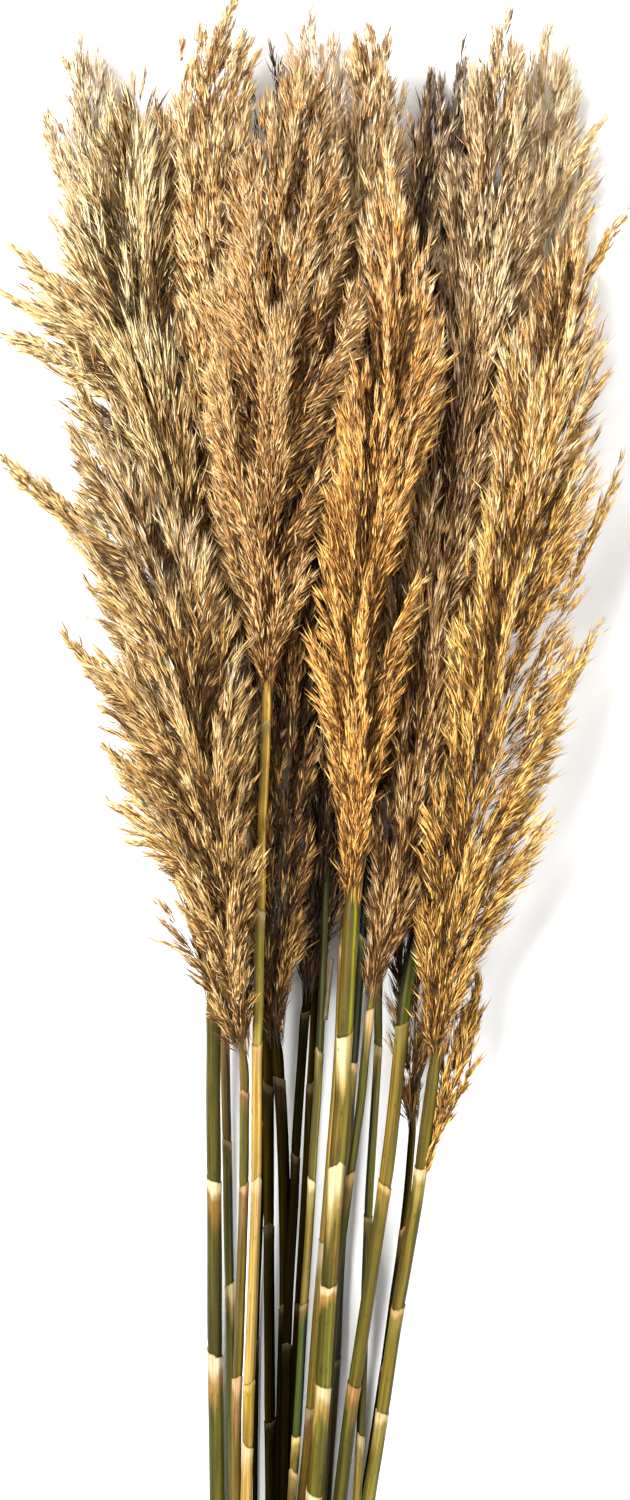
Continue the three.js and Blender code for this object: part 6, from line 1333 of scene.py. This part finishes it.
# ---------------------------------------------------------------------------
# Dry scraps: the torn sheath stub and the two leaf tufts on stalk p
# ---------------------------------------------------------------------------
def blade(verts, faces, uvs, cols, pts, w, curl, taper, color, rng, thick=0.35, ragged=0.0):
    """A thin curled strip with real thickness, laid along pts (mm)."""
    pts = np.asarray(pts, float)
    s = np.concatenate([[0], np.cumsum(np.linalg.norm(np.diff(pts, axis=0), axis=1))])
    n = 14
    t = np.linspace(0, s[-1], n)
    c = np.stack([np.interp(t, s, pts[:, k]) for k in range(3)], 1)
    tan = unit(np.gradient(c, axis=0))
    side = unit(np.stack([tan[:, 1], -tan[:, 0], np.zeros(n)], 1))
    up = np.cross(side, tan)
    up = np.where(up[:, 2:3] < 0, -up, up)
    m = 6
    base = len(verts)
    col = srgb_arr(color)
    for i in range(n):
        u = i / (n - 1)
        ww = w * (1 - taper * u)
        if ragged and i == n - 1:
            ww *= 0.9
        outer, inner = [], []
        for j in range(m):
            v = j / (m - 1) - 0.5
            a = v * curl
            rr = ww / max(curl, 0.05)
            off = side[i] * math.sin(a) * rr + up[i] * (math.cos(a) - 1) * rr
            jag = tan[i] * (ragged * rng.normal()) if i == n - 1 else 0
            outer.append(c[i] + off + jag)
            nrm = side[i] * math.sin(a) + up[i] * math.cos(a)
            inner.append(c[i] + off + jag - nrm * thick)
        verts.extend(outer)
        verts.extend(inner[::-1])
        shade = 1 + 0.12 * math.sin(i * 1.7) + 0.05 * rng.normal()
        for j in range(2 * m):
            cols.append([*(np.clip(col * shade * (0.9 + 0.2 * (j % m) / m), 0, 0.95)), 1])
    k2 = 2 * m
    for i in range(n - 1):
        for j in range(k2):
            a = base + i * k2 + j
            b = base + i * k2 + (j + 1) % k2
            faces.append((a, a + k2, b + k2))
            faces.append((a, b + k2, b))
            ua, ub = j / k2, (j + 1) / k2
            va, vb = i / n, (i + 1) / n
            uvs += [(ua, va), (ua, vb), (ub, vb), (ua, va), (ub, vb), (ub, va)]
    for i, rev in ((0, False), (n - 1, True)):
        r0 = base + i * k2
        for j in range(1, k2 - 1):
            f = (r0, r0 + j, r0 + j + 1)
            faces.append(f[::-1] if rev else f)
            uvs += [(0.99, 0.0), (1.0, 0.0), (1.0, 0.01)]


def scrap_object(name, strips, rng):
    V, F, U, C = [], [], [], []
    for st in strips:
        blade(V, F, U, C, rng=rng, **st)
    ob = mesh_object(name, np.array(V), np.array(F).reshape(-1), 3, uvs=np.array(U), colors=np.array(C))
    ob.data.materials.append(STALK_MAT)
    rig.ride(ob, "root")
    return ob


def node_axis(node):
    lo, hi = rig.box(node)
    lo = np.array([lo[i] for i in range(3)]) * 1000 - SHIFT
    hi = np.array([hi[i] for i in range(3)]) * 1000 - SHIFT
    return lo, hi


rng = np.random.default_rng(77)
lo, hi = node_axis("leaf_stub")
ob = scrap_object("leaf_stub_strip", [
    dict(pts=[(lo[0] + 0.6, lo[1] - 6, lo[2] + 1.0), ((lo[0] + hi[0]) / 2, (lo[1] + hi[1]) / 2, (lo[2] + hi[2]) / 2), (hi[0] - 1.2, hi[1], hi[2])],
         w=3.4, curl=2.2, taper=0.05, color=(92, 78, 52), ragged=0.6),
], rng)
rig.replaces(ob, "leaf_stub")
for node in ("leaf_tuft_upper", "leaf_tuft_lower"):
    lo, hi = node_axis(node)
    root = np.array([hi[0], lo[1], lo[2] + 0.8])
    tip = np.array([lo[0], hi[1], hi[2]])
    strips = []
    for k in range(9):
        tt = tip + rng.normal(0, 1.0, 3) * np.array([2.2, 3.0, 1.5])
        tt[1] -= rng.uniform(0, 8) * (k > 2)
        mid = root * 0.5 + tt * 0.5 + rng.normal(0, 0.8, 3) + np.array([0.8, -0.6, 0.5])
        strips.append(dict(pts=[root + rng.normal(0, 0.5, 3), mid, tt], w=rng.uniform(0.7, 1.5), curl=1.2, taper=0.85,
                           color=[(186, 150, 112), (150, 116, 84), (206, 176, 140)][k % 3], thick=0.22))
    ob = scrap_object(node + "_shreds", strips, rng)
    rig.replaces(ob, node)

vis_lo, vis_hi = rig.bounds()
with open("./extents.json", "w") as f:
    json.dump({"cad": [cad_lo, cad_hi], "visual": [[float(v) for v in vis_lo], [float(v) for v in vis_hi]]}, f)
